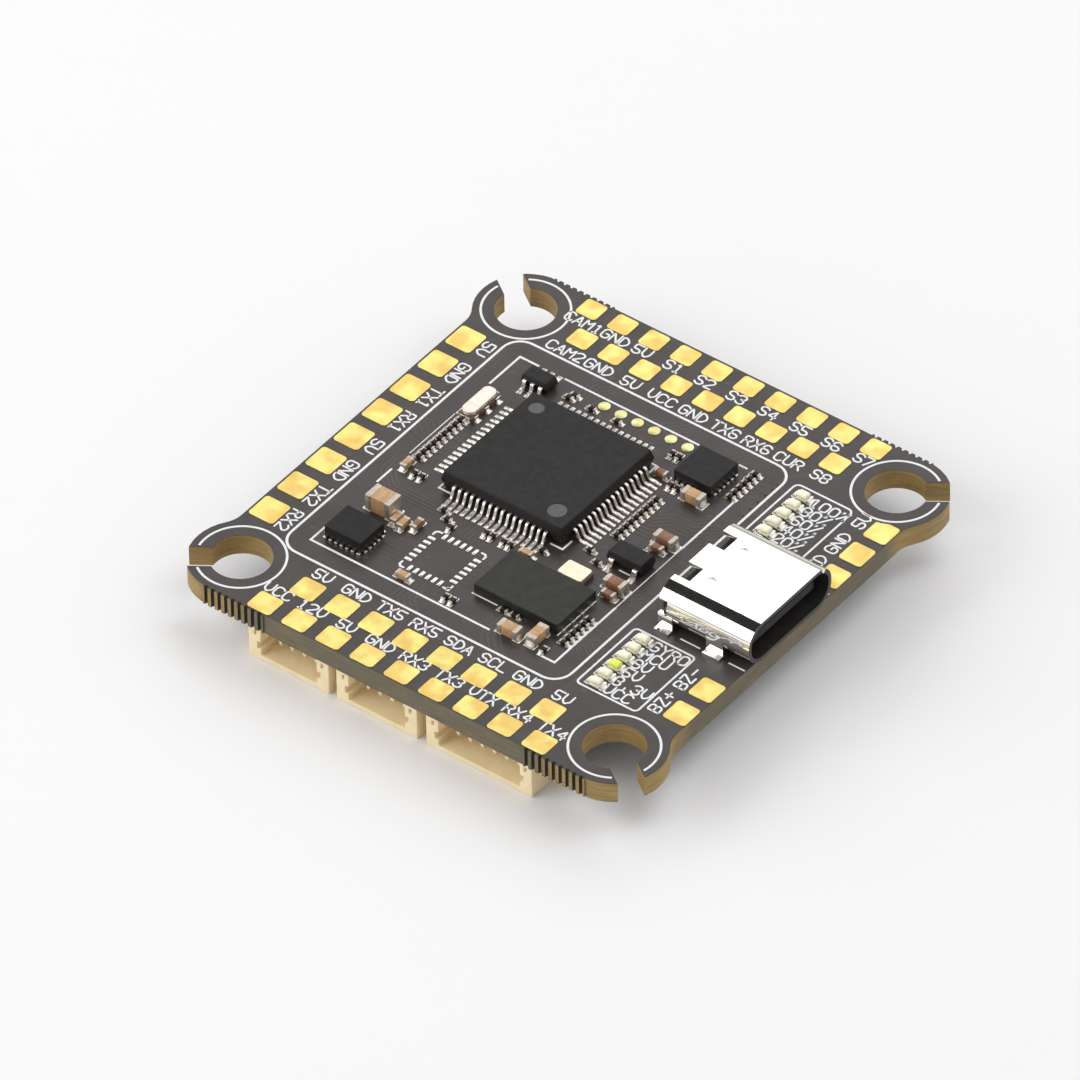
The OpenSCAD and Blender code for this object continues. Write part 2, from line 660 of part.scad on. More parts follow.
module left_socket_housing() color(cream) at_front(left_socket[0]) socket_housing(left_socket[1]);
module left_socket_contacts() color(tin) at_front(left_socket[0]) socket_contacts(left_socket[1]);
module middle_socket_housing() color(cream)
    at_front(middle_socket[0]) socket_housing(middle_socket[1]);
module middle_socket_contacts() color(tin)
    at_front(middle_socket[0]) socket_contacts(middle_socket[1]);
module right_socket_housing() color(cream) at_front(right_socket[0]) socket_housing(right_socket[1]);
module right_socket_contacts() color(tin) at_front(right_socket[0]) socket_contacts(right_socket[1]);
module esc_socket_housing() color(cream) at_rear(esc_socket[0]) socket_housing(esc_socket[1]);
module esc_socket_contacts() color(tin) at_rear(esc_socket[0]) socket_contacts(esc_socket[1]);

module anchor_tabs(count)
    tab_pair(count * socket_pitch + socket_margin, tab_y[0], tab_y[1], 0, tab_h, tab_foot - tab_t);

module socket_anchor_tabs() color(tin) {
    for (s = [left_socket, middle_socket, right_socket]) at_front(s[0]) anchor_tabs(s[1]);
    at_rear(esc_socket[0]) anchor_tabs(esc_socket[1]);
}

// Video overlay chip and its crystal
module osd_chip_body() color(mould_black) under() moulded_body(osd_at, osd_size);

module osd_chip_leads() color(tin) under() for (turn = [90, -90])
    lead_row(osd_at, osd_size[1] / 2, turn, osd_leads_per_side, osd_pitch, osd_lead);

module osd_crystal() color(nickel) under()
    round_block(osd_crystal_at, osd_crystal_size, osd_crystal_r);

// Step-down power supplies
module power_inductors() color(ferrite) under()
    for (p = inductors_at) round_block(p, inductor_size, inductor_corner);

module power_chip_bodies() color(mould_black) under() for (p = power_chips_at)
    moulded_body(p, power_chip_size);

module power_chip_leads() color(tin) under() for (p = power_chips_at, turn = [90, -90])
    lead_row(p, power_chip_size[1] / 2, turn, 3, power_chip_pitch, power_chip_lead);

// Air pressure sensor: base and vented metal lid
module barometer_base() color(ceramic_tan) under() block(barometer_at, barometer_size);

module barometer_lid() color(nickel) under() difference() {
    round_block(barometer_at, barometer_lid_size, barometer_lid_r, barometer_size[2]);
    translate([barometer_at[0], barometer_at[1] + barometer_vent_y,
               barometer_size[2] + barometer_lid_size[2] - barometer_vent_depth])
        cylinder(d = barometer_vent_d, h = cut, $fn = 24);
}

// Boot button: base, snap dome, terminals, metal cover and the plunger that moves
module at_button() under() translate([button_at[0], button_at[1], 0]) children();

module boot_button_base() color(mould_black) at_button() difference() {
    block([0, 0], button_size);
    translate([0, 0, button_floor]) cylinder(d = button_cavity_d, h = button_size[2]);
}

module boot_button_dome() color(nickel) at_button() translate([0, 0, button_floor])
    cylinder(d = button_dome_d, h = button_dome_t);

module boot_button_terminals() color(tin) at_button() for (sx = [-1, 1], sy = [-1, 1])
    translate([sx * (button_size[0] + button_terminal[1]) / 2,
               sy * (button_size[1] - button_terminal[0]) / 2, 0])
        block([0, 0], [button_terminal[1], button_terminal[0], button_terminal[2]]);

module boot_button_cover() color(nickel) at_button() difference() {
    block([0, 0], [button_size[0], button_size[1], button_cover_t], button_size[2]);
    translate([0, 0, button_size[2] - cut]) cylinder(d = button_cover_hole, h = 3 * cut);
}

module boot_button_plunger() color(plunger_color) at_button() {
    flange_z = button_size[2] - button_play - button_flange_t;
    rotate_extrude() polygon([
        [0, flange_z], [button_flange_d / 2, flange_z],
        [button_flange_d / 2, flange_z + button_flange_t],
        [plunger_d / 2, flange_z + button_flange_t], [plunger_d / 2, plunger_h], [0, plunger_h]]);
}

circuit_board();
rear_pads();
front_pads();
left_pads();
right_pads();
programming_pads();
spare_footprint_pads();
processor_body();
processor_leads();
gyro_body();
gyro_pads();
memory_body();
memory_pads();
signal_chip_body();
signal_chip_pads();
regulator_body();
regulator_leads();
transistor_body();
transistor_leads();
resonator_base();
resonator_lid();
crystal_base();
crystal_lid();
large_capacitor_bodies();
large_capacitor_ends();
small_capacitor_bodies();
small_capacitor_ends();
resistor_bodies();
resistor_ends();
led_bases();
led_lenses();
status_led_lens();
led_ends();
usb_shell();
usb_insulator();
usb_tongue();
usb_contacts();
left_socket_housing();
left_socket_contacts();
middle_socket_housing();
middle_socket_contacts();
right_socket_housing();
right_socket_contacts();
esc_socket_housing();
esc_socket_contacts();
socket_anchor_tabs();
osd_chip_body();
osd_chip_leads();
osd_crystal();
power_inductors();
power_chip_bodies();
power_chip_leads();
barometer_base();
barometer_lid();
boot_button_base();
boot_button_dome();
boot_button_terminals();
boot_button_cover();
boot_button_plunger();
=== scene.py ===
import json
import math
import random

import bmesh
import bpy
from bpy.props import FloatProperty, FloatVectorProperty, IntProperty, PointerProperty
from mathutils import Matrix, Vector
from mathutils.geometry import tessellate_polygon


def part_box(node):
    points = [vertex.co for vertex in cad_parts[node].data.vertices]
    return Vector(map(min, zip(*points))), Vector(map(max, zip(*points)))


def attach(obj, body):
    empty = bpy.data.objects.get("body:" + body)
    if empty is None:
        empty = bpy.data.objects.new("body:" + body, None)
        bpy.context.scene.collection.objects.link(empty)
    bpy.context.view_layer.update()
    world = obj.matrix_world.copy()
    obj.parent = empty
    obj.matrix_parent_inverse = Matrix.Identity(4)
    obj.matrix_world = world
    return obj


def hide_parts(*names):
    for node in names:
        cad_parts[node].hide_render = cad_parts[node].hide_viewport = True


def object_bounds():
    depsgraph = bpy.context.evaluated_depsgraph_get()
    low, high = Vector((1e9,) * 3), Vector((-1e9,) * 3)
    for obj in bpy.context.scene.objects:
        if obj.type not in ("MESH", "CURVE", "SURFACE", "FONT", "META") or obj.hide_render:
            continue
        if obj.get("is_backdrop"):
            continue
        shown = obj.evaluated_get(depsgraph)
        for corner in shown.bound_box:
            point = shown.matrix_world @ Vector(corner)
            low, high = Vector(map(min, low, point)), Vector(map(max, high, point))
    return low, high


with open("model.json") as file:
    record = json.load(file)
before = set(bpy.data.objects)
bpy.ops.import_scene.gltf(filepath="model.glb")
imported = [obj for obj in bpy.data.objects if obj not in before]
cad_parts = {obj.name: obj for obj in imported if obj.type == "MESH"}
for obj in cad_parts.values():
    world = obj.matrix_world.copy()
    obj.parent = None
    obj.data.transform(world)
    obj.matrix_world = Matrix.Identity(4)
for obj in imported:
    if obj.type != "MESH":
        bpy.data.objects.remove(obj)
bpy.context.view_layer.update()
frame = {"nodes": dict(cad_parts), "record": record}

bl_info = {
    "name": "Flight Controller Board",
    "version": (1, 0, 0),
    "blender": (4, 5, 0),
    "location": "View3D > Sidebar > Flight Board",
    "description": "Finishes a flight controller board: mask, copper, legends, pads, chips and sockets",
    "category": "Mesh",
}

MM = 0.001                       # the shapes are drawn in millimetres
WELD = 0.0002                    # corners this close are one corner
BOARD = "board"
PLUNGER = "button_plunger"
BOARD_LOW, BOARD_HIGH = (Vector(corner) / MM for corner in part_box("circuit_board"))
UNDER, TOP = BOARD_LOW.z, BOARD_HIGH.z
HOLE_AT = [frame["record"]["mounts"][0]["dims"][f"spacing_{axis}_mm"] / 2 for axis in "xy"]
LOBE_REACH = 3.9                 # a lobe ends about this far from the middle of its hole
LOBE_FADE = 1.6                  # and its golden colour fades out over this length
GROOVES = (10.7, 15.5)           # the break-off grooves lie between these distances along X
GROOVE_DEPTH = 0.25
SHELL_ROUND = 1.5                # radius of the USB shell's outer corners
ROOTED = 0.004                   # printed lines and traces start this far inside the mask
SMOOTH_ANGLE = 38                # edges sharper than this are shaded sharp, in degrees
CORNERS = ((1, 1), (-1, 1), (-1, -1), (1, -1))


# ------------------------------------------------------------------ settings

def colour(name, value, text):
    return FloatVectorProperty(name=name, description=text, default=value, size=3,
                               subtype="COLOR", min=0, max=1)


def length(name, value, text):
    return FloatProperty(name=name, description=text, default=value * MM, min=0, precision=6,
                         unit="LENGTH", subtype="DISTANCE")


class FlightBoardColours(bpy.types.PropertyGroup):
    """Colours of the finishes."""
    mask: colour("Solder mask", (0.040, 0.032, 0.029), "Charcoal mask over the copper")
    laminate: colour("Laminate", (0.125, 0.115, 0.080), "Glass laminate where the edge is bare")
    toasted: colour("Toasted laminate", (0.42, 0.27, 0.075), "The routed lobes and holes")
    ink: colour("Ink", (0.86, 0.87, 0.88), "Printed lines and legends")
    gold: colour("Gold", (0.80, 0.56, 0.17), "Plated solder pads")
    pale_gold: colour("Pale gold", (0.76, 0.66, 0.31), "Round programming pads")
    tin: colour("Tin", (0.86, 0.82, 0.76), "Tinned leads and solder")
    matte_tin: colour("Matt tin", (0.66, 0.59, 0.51), "Metal ends of the small parts")
    nickel: colour("Nickel", (0.97, 0.945, 0.90), "Pressed sheet of the shell, lids and covers")
    mould: colour("Chip moulding", (0.012, 0.0105, 0.010), "Black moulding compound")
    memory: colour("Memory moulding", (0.021, 0.021, 0.016), "Slightly green compound")
    nylon: colour("Socket nylon", (0.93, 0.77, 0.50), "Cream housings of the plug sockets")
    tan: colour("Tan ceramic", (0.56, 0.34, 0.17), "Large capacitor bodies")
    brown: colour("Brown ceramic", (0.27, 0.125, 0.068), "Small capacitor bodies")
    resin: colour("LED resin", (1.0, 0.97, 0.72), "Unlit LED lenses")
    status: colour("Status lens", (0.80, 0.93, 0.12), "The yellow-green lens")
    lid: colour("Crystal lid", (0.84, 0.79, 0.71), "Lid of the resonator")
    cream_lid: colour("Cream lid", (0.88, 0.83, 0.64), "Lid of the processor's crystal")
    dark_ceramic: colour("Dark ceramic", (0.15, 0.085, 0.05), "Bases of the crystals")
    ferrite: colour("Ferrite", (0.055, 0.055, 0.06), "Pressed inductor bodies")


class FlightBoardSizes(bpy.types.PropertyGroup):
    """Sizes of the details that are added to the CAD parts."""
    mask_t: length("Mask thickness", 0.03, "Thickness of the solder mask on each face")
    ink_t: length("Ink thickness", 0.022, "Height of the printed lines over the mask")
    ink_w: length("Line width", 0.2, "Width of the printed frame and rings")
    stroke_w: length("Letter stroke", 0.15, "Width of a letter's stroke")
    letter_h: length("Letter height", 0.86, "Height of the pad legends")
    trace_w: length("Trace width", 0.16, "Width of a masked copper trace")
    trace_t: length("Trace height", 0.010, "Height of a masked trace over the mask")
    via_d: length("Via diameter", 0.42, "Diameter of a masked via")
    ring_r: length("Hole ring radius", 3.0, "Radius of the printed ring round each hole")
    chip_edge: length("Chip edge", 0.05, "Rounding of the edges of the chips")
    socket_edge: length("Socket edge", 0.06, "Rounding of the edges of the plug sockets")
    shell_edge: length("Shell edge", 0.06, "Rounding of the edges of the USB shell")
    pad_edge: length("Pad edge", 0.018, "Rounding of the edges of the plated pads")
    toe_reach: length("Toe reach", 0.2, "How far solder runs out from a metal end")
    lead_toe: length("Lead toe", 0.43, "How far solder runs out from a processor lead")
    vias: IntProperty(name="Vias", description="Number of masked vias scattered on each face",
                      default=190, min=0, max=600)


class FlightBoardStage(bpy.types.PropertyGroup):
    """Floor, lights and camera."""
    floor: FloatProperty(name="Floor size", description="Side of the square floor", default=6.0,
                         min=0.5, unit="LENGTH")
    back_power: FloatProperty(name="Back light", description="Power of the softbox behind the board",
                              default=0.66, min=0, unit="POWER")
    key_power: FloatProperty(name="Key light", description="Power of the softbox on the left",
                             default=1.3, min=0, unit="POWER")
    front_power: FloatProperty(name="Front light", description="Power of the low softbox in front",
                               default=0.55, min=0, unit="POWER")
    top_power: FloatProperty(name="Top light", description="Power of the overhead softbox",
                             default=1.1, min=0, unit="POWER")
    rim_power: FloatProperty(name="Rim light", description="Power of the low softbox on the right",
                             default=0.32, min=0, unit="POWER")
    world: FloatProperty(name="Surroundings", description="Strength of the pale surroundings",
                         default=0.50, min=0)
    distance: FloatProperty(name="Camera distance", description="From the board to the camera",
                            default=1.0216, min=0.1, unit="LENGTH")
    lens: FloatProperty(name="Lens", description="Focal length in millimetres", default=522.64,
                        min=10)


class FlightBoardSettings(bpy.types.PropertyGroup):
    """Everything that can be changed before the board is built."""
    colours: PointerProperty(type=FlightBoardColours, name="Colours",
                             description="Colours of the finishes")
    sizes: PointerProperty(type=FlightBoardSizes, name="Sizes", description="Sizes of the details")
    stage: PointerProperty(type=FlightBoardStage, name="Stage",
                           description="Floor, lights and camera")


def settings():
    return bpy.context.scene.flight_board


def size(name):
    """One of the sizes, in millimetres."""
    return getattr(settings().sizes, name) / MM


# ------------------------------------------------------------------ finishes

class Finish:
    """A node material that is built once and then shared."""

    def __init__(self, name):
        name = f"{name}_finish"          # the CAD materials carry the bare slot names
        self.made = name not in bpy.data.materials
        self.material = bpy.data.materials.get(name) or bpy.data.materials.new(name)
        if self.made:
            self.material.use_nodes = True
            self.tree = self.material.node_tree
            self.shader = self.tree.nodes["Principled BSDF"]
            place = self.tree.nodes.new("ShaderNodeTexCoord")
            scale = self.tree.nodes.new("ShaderNodeMapping")
            scale.inputs["Scale"].default_value = (1 / MM,) * 3
            self.link(place.outputs["Object"], scale.inputs["Vector"])
            self.place = scale.outputs["Vector"]

    def link(self, out, into):
        self.tree.links.new(out, into)

    def socket(self, name, value):
        self.shader.inputs[name].default_value = value

    def stretched(self, x, y, z):
        node = self.tree.nodes.new("ShaderNodeMapping")
        node.inputs["Scale"].default_value = (x, y, z)
        self.link(self.place, node.inputs["Vector"])
        return node.outputs["Vector"]

    def noise(self, grain, detail=3.0, place=None):
        """Noise whose grains are about that many millimetres across."""
        node = self.tree.nodes.new("ShaderNodeTexNoise")
        node.inputs["Scale"].default_value = 1 / grain
        node.inputs["Detail"].default_value = detail
        self.link(place or self.place, node.inputs["Vector"])
        return node.outputs["Fac"]

    def ranged(self, value, low, high, start=0.3, end=0.7):
        node = self.tree.nodes.new("ShaderNodeMapRange")
        for name, number in (("From Min", start), ("From Max", end), ("To Min", low), ("To Max", high)):
            node.inputs[name].default_value = number
        self.link(value, node.inputs["Value"])
        return node.outputs["Result"]

    def blend(self, factor, first, second):
        """A colour between two colours or colour outputs."""
        node = self.tree.nodes.new("ShaderNodeMix")
        node.data_type = "RGBA"
        self.link(factor, node.inputs["Factor"])
        for name, value in (("A", first), ("B", second)):
            into = [i for i in node.inputs if i.name == name and i.type == "RGBA"][0]
            if isinstance(value, bpy.types.NodeSocket):
                self.link(value, into)
            else:
                into.default_value = (*value, 1)
        return [o for o in node.outputs if o.type == "RGBA"][0]

    def bump(self, height, depth):
        """Small relief; depth is in millimetres."""
        node = self.tree.nodes.new("ShaderNodeBump")
        node.inputs["Distance"].default_value = depth * MM
        if self.shader.inputs["Normal"].is_linked:
            self.link(self.shader.inputs["Normal"].links[0].from_socket, node.inputs["Normal"])
        self.link(height, node.inputs["Height"])
        self.link(node.outputs["Normal"], self.shader.inputs["Normal"])


def shade(base, factor):
    return tuple(min(1.0, channel * factor) for channel in base)


def grained(name, base, vary, grain, roughness, relief=0.0, relief_grain=0.05, metallic=0.0):
    """Colour and roughness that drift over the surface, with a fine relief."""
    finish = Finish(name)
    if finish.made:
        drift = finish.noise(grain)
        mixed = finish.blend(finish.ranged(drift, 0, 1), shade(base, 1 - vary), shade(base, 1 + vary))
        finish.link(mixed, finish.shader.inputs["Base Color"])
        low, high = roughness
        finish.link(finish.ranged(finish.noise(grain * 0.6), low, high),
                    finish.shader.inputs["Roughness"])
        finish.socket("Metallic", metallic)
        if relief:
            finish.bump(finish.noise(relief_grain, 2.0), relief)
    return finish


def mask_finish(lift=1.0):
    """Satin solder mask: warm charcoal with a soft orange-peel surface."""
    base = shade(settings().colours.mask, lift)
    finish = grained("solder_mask" if lift == 1.0 else f"solder_mask_{lift:.2f}", base, 0.10, 2.6,
                     (0.30, 0.42), 0.004, 0.5)
    if finish.made:
        finish.bump(finish.noise(0.09, 2.0), 0.0012)
    return finish.material


def laminate_finish():
    """Glass cloth in resin, seen edge on: faint layers, more golden out at the routed lobes."""
    colours = settings().colours
    finish = Finish("glass_laminate")
    if finish.made:
        layers = finish.noise(0.16, 2.0, finish.stretched(0.07, 0.07, 1))
        threads = finish.noise(0.09, 4.0, finish.stretched(0.6, 0.6, 1))
        quarter = finish.tree.nodes.new("ShaderNodeVectorMath")
        quarter.operation = "ABSOLUTE"
        finish.link(finish.stretched(1, 1, 0), quarter.inputs[0])
        away = finish.tree.nodes.new("ShaderNodeVectorMath")
        away.operation = "DISTANCE"
        finish.link(quarter.outputs["Vector"], away.inputs[0])
        away.inputs[1].default_value = (*HOLE_AT, 0)
        at_lobe = finish.ranged(away.outputs["Value"], 1, 0, LOBE_REACH, LOBE_REACH + LOBE_FADE)
        base = finish.blend(at_lobe, tuple(colours.laminate), tuple(colours.toasted))
        clouded = finish.blend(finish.ranged(finish.noise(1.6), 0, 0.5), base, shade(colours.toasted, 0.55))
        cloth = finish.blend(finish.ranged(layers, 0, 0.42, 0.36, 0.64), clouded,
                             shade(colours.laminate, 0.5))
        flecked = finish.blend(finish.ranged(threads, 0, 0.35, 0.52, 0.78), cloth,
                               shade(colours.laminate, 2.1))
        finish.link(flecked, finish.shader.inputs["Base Color"])
        finish.link(finish.ranged(threads, 0.42, 0.68), finish.shader.inputs["Roughness"])
        finish.bump(layers, 0.012)
        finish.bump(threads, 0.012)
    return finish.material


def groove_shade_finish():
    """Painted shade: the floor of the break-off grooves, coloured near black for the shade in these narrow
    slots.
    """
    return grained("groove_painted_shade", (0.035, 0.027, 0.016), 0.3, 0.2, (0.6, 0.8), 0.02, 0.08).material


def ink_finish():
    return grained("printed_ink", settings().colours.ink, 0.06, 0.5, (0.5, 0.7), 0.003, 0.06).material


def gold_finish(name="gold_plating", base=None):
    """Plating with paler and deeper patches and a slightly uneven skin."""
    base = base or settings().colours.gold
    finish = Finish(name)
    if finish.made:
        patches = finish.ranged(finish.noise(1.5, 1.5), 0, 1, 0.42, 0.58)
        finish.link(finish.blend(patches, shade(base, 0.97), (base[0], base[1] * 1.24, base[2] * 1.35)),
                    finish.shader.inputs["Base Color"])
        finish.link(finish.ranged(finish.noise(0.7), 0.28, 0.44), finish.shader.inputs["Roughness"])
        finish.socket("Metallic", 1.0)
        finish.bump(finish.noise(0.12, 3.0), 0.003)
        finish.bump(finish.noise(1.3, 1.0), 0.016)
    return finish.material


def tin_finish():
    """Bright solder and tinned metal with a faint skin of grains."""
    return grained("tinned_metal", settings().colours.tin, 0.12, 0.35, (0.20, 0.42), 0.006, 0.12,
                   metallic=1.0).material


def matte_tin_finish():
    """The dull fired and tinned ends of the small parts."""
    return grained("matt_tin", settings().colours.matte_tin, 0.10, 0.3, (0.48, 0.64), 0.006, 0.1,
                   metallic=1.0).material


def nickel_finish():
    """Pressed sheet with faint rolling lines along X."""
    finish = grained("nickel_sheet", settings().colours.nickel, 0.03, 1.6, (0.05, 0.10), metallic=1.0)
    if finish.made:
        finish.bump(finish.noise(0.05, 2.0, finish.stretched(0.06, 1, 1)), 0.0004)
        finish.bump(finish.noise(2.4, 1.0), 0.006)
    return finish.material


def shell_inside_shade_finish():
    """Painted shade: the inside of the shell, coloured dark for the shade and dark reflections within the
    mouth.
    """
    return grained("shell_inside_painted_shade", (0.055, 0.050, 0.047), 0.2, 0.8, (0.30, 0.45), 0.002, 0.1,
                   metallic=0.6).material


def plated_lid_finish(name, base):
    """Warm, bright lid of a crystal."""
    return grained(name, base, 0.06, 0.6, (0.34, 0.48), 0.003, 0.15, metallic=0.75).material


def mould_finish(name="chip_moulding", base=None, rough=(0.46, 0.60)):
    """Moulding compound: matt black with fine filler grains."""
    finish = grained(name, base or settings().colours.mould, 0.16, 0.7, rough, 0.004, 0.07)
    if finish.made:
        finish.socket("Specular IOR Level", 0.34)
        finish.bump(finish.noise(0.022, 1.0), 0.0016)
    return finish.material


def mark_finish():
    """The smooth floor of an ejector mark."""
    return grained("ejector_mark", (0.085, 0.080, 0.078), 0.10, 0.3, (0.34, 0.44), 0.002, 0.08).material


def nylon_finish():
    """Glass-filled nylon: cream, slightly cloudy, with a soft skin."""
    finish = grained("socket_nylon", settings().colours.nylon, 0.05, 1.2, (0.42, 0.58), 0.006, 0.12)
    if finish.made:
        finish.socket("Subsurface Weight", 0.4)
        finish.socket("Subsurface Radius", (0.6, 0.45, 0.25))
        finish.socket("Subsurface Scale", 0.9 * MM)
    return finish.material


def ceramic_finish(name, base):
    """Fired ceramic with fine layers across its height."""
    finish = Finish(name)
    if finish.made:
        layers = finish.noise(0.09, 2.0, finish.stretched(0.12, 0.12, 1))
        clouds = finish.ranged(finish.noise(0.35), 0, 1)
        body = finish.blend(clouds, shade(base, 0.82), shade(base, 1.18))
        banded = finish.blend(finish.ranged(layers, 0, 0.35, 0.4, 0.6), body, shade(base, 0.6))
        finish.link(banded, finish.shader.inputs["Base Color"])
        finish.link(finish.ranged(clouds, 0.30, 0.46, 0, 1), finish.shader.inputs["Roughness"])
        finish.bump(finish.noise(0.05, 2.0), 0.003)
    return finish.material


def resin_finish(name, base):
    """Cloudy lens resin under a thin clear skin."""
    finish = grained(name, base, 0.12, 0.25, (0.22, 0.34), 0.002, 0.1)
    if finish.made:
        finish.socket("Subsurface Weight", 0.3)
        finish.socket("Subsurface Radius", (0.3, 0.25, 0.12))
        finish.socket("Subsurface Scale", 0.3 * MM)
        finish.socket("Coat Weight", 0.4)
        finish.socket("Coat Roughness", 0.12)
    return finish.material


def floor_finish():
    finish = grained("studio_floor", (0.90, 0.90, 0.905), 0.004, 60.0, (0.60, 0.66))
    if finish.made:
        finish.socket("Specular IOR Level", 0.2)
    return finish.material


# ------------------------------------------------------------------ drawing in millimetres

def mm_mesh(node):
    """A CAD node's mesh in millimetres, with its shared corners joined."""
    bm = bmesh.new()
    bm.from_mesh(frame["nodes"][node].data)
    bmesh.ops.scale(bm, vec=(1 / MM,) * 3, verts=bm.verts)
    bmesh.ops.remove_doubles(bm, verts=bm.verts, dist=WELD)
    return bm


def mm_box(node):
    low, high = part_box(node)
    return Vector(low) / MM, Vector(high) / MM


def solids(node):
    """The lowest and highest corner of each separate solid of a CAD node."""
    bm = mm_mesh(node)
    for vert in bm.verts:
        vert.tag = False
    found = []
    for first in bm.verts:
        if first.tag:
            continue
        first.tag = True
        stack, corners = [first], []
        while stack:
            vert = stack.pop()
            corners.append(vert.co.copy())
            for edge in vert.link_edges:
                other = edge.other_vert(vert)
                if not other.tag:
                    other.tag = True
                    stack.append(other)
        found.append((Vector([min(c[k] for c in corners) for k in range(3)]),
                      Vector([max(c[k] for c in corners) for k in range(3)])))
    bm.free()
    return sorted(found, key=lambda s: tuple(round(value, 3) for value in s[0]))


def middle(low, high):
    return (low + high) / 2


def soften(bm, edge, segments=2, angle=30):
    """Round every edge that is sharper than the angle."""
    sharp = [e for e in bm.edges
             if len(e.link_faces) == 2 and e.calc_face_angle(0.0) > math.radians(angle)]
    bmesh.ops.bevel(bm, geom=sharp, offset=edge, offset_type="OFFSET", segments=segments,
                    profile=0.5, affect="EDGES", clamp_overlap=True)


def softened(node, edge, segments=2, angle=30):
    """A CAD node's shape with its edges rounded."""
    bm = mm_mesh(node)
    bmesh.ops.dissolve_limit(bm, angle_limit=math.radians(1), verts=bm.verts, edges=bm.edges)
    soften(bm, edge, segments, angle)
    return bm


def add_mesh(bm, part, material):
    """Move the faces of one bmesh into another, with a material."""
    for face in part.faces:
        face.material_index = material
    mesh = bpy.data.meshes.new("part")
    part.to_mesh(mesh)
    part.free()
    bm.from_mesh(mesh)
    bpy.data.meshes.remove(mesh)


def soft_boxes(bm, boxes, edge, segments=2, material=0):
    """Boxes with rounded edges, from their lowest and highest corners."""
    part = bmesh.new()
    for low, high in boxes:
        scale = Matrix.Diagonal((*(high - low), 1))
        bmesh.ops.create_cube(part, size=1, matrix=Matrix.Translation(middle(low, high)) @ scale)
    soften(part, edge, segments)
    add_mesh(bm, part, material)


def rings_to_solid(bm, rings, closed=False):
    """Join loops of points into one closed skin; the ends are capped unless it closes on itself."""
    loops = [[bm.verts.new(point) for point in ring] for ring in rings]
    pairs = list(zip(loops, loops[1:] + loops[:1])) if closed else list(zip(loops, loops[1:]))
    for first, second in pairs:
        for k in range(len(first)):
            n = (k + 1) % len(first)
            bm.faces.new((first[k], first[n], second[n], second[k]))
    if not closed:
        for loop in (loops[0], loops[-1]):
            bm.faces.new(loop)


def arc(centre, radius, start, end, steps):
    return [Vector((centre[0] + radius * math.cos(math.radians(start + (end - start) * k / steps)),
                    centre[1] + radius * math.sin(math.radians(start + (end - start) * k / steps))))
            for k in range(steps + 1)]


def rounded_loop(low, high, radius, steps=3):
    """Corner points of a rectangle with round corners, as flat vectors."""
    x0, y0, x1, y1 = low[0], low[1], high[0], high[1]
    return (arc((x1 - radius, y1 - radius), radius, 0, 90, steps)
            + arc((x0 + radius, y1 - radius), radius, 90, 180, steps)
            + arc((x0 + radius, y0 + radius), radius, 180, 270, steps)
            + arc((x1 - radius, y0 + radius), radius, 270, 360, steps))


def ribbon(bm, points, width, low, high, closed=False, round_ends=False, slope=0.25):
    """A raised strip along a flat path: a trace, a printed line or the stroke of a letter."""
    points = [Vector(p) for p in points]
    count = len(points)
    half = width / 2
    crest = half * (1 - slope)
    sections = []
    for k in range(count):
        before = points[k] - points[k - 1] if k or closed else points[1] - points[0]
        after = points[(k + 1) % count] - points[k] if k < count - 1 or closed else before
        before, after = before.normalized(), after.normalized()
        along = (before + after).normalized() if (before + after).length > 1e-6 else after
        side = Vector((-along.y, along.x))
        reach = 1 / max(0.5, side.dot(Vector((-after.y, after.x))))
        sections.append((points[k], side * reach, 1.0, along))
    if round_ends and not closed:
        turns = [(math.cos(math.radians(a)), math.sin(math.radians(a))) for a in (12, 40, 66)]
        first, last = sections[0], sections[-1]
        head = [(first[0] - first[3] * half * c, first[1], s, first[3]) for c, s in turns]
        tail = [(last[0] + last[3] * half * c, last[1], s, last[3]) for c, s in reversed(turns)]
        sections = head + sections + tail
    rings = [[(*(at - side * half * share), low), (*(at - side * crest * share), high),
              (*(at + side * crest * share), high), (*(at + side * half * share), low)]
             for at, side, share, _ in sections]
    rings_to_solid(bm, rings, closed)


def plate(bm, loop, low, high, chamfer, edge_material=None):
    """A flat sheet with a small chamfer; edge_material picks a material for each stretch of edge."""
    rings = [(inset(loop, chamfer), low), (loop, low + chamfer), (loop, high - chamfer),
             (inset(loop, chamfer), high)]
    levels = [[bm.verts.new((*p, z)) for p in points] for points, z in rings]
    for first, second in zip(levels, levels[1:]):
        for k in range(len(loop)):
            n = (k + 1) % len(loop)
            face = bm.faces.new((first[k], first[n], second[n], second[k]))
            if edge_material:
                face.material_index = edge_material((loop[k] + loop[n]) / 2)
    for level, (points, _) in ((levels[0], rings[0]), (levels[-1], rings[-1])):
        for a, b, c in tessellate_polygon([[Vector((*p, 0)) for p in points]]):
            bm.faces.new((level[a], level[b], level[c]))


def inset(loop, distance):
    """The outline moved inwards; loop runs anticlockwise."""
    moved = []
    for k, point in enumerate(loop):
        before = (point - loop[k - 1]).normalized()
        after = (loop[(k + 1) % len(loop)] - point).normalized()
        inward = Vector((-before.y - after.y, before.x + after.x))
        inward = inward.normalized() if inward.length > 1e-6 else Vector((-after.y, after.x))
        reach = 1 / max(0.5, inward.dot(Vector((-after.y, after.x))))
        moved.append(point + inward * distance * reach)
    return moved


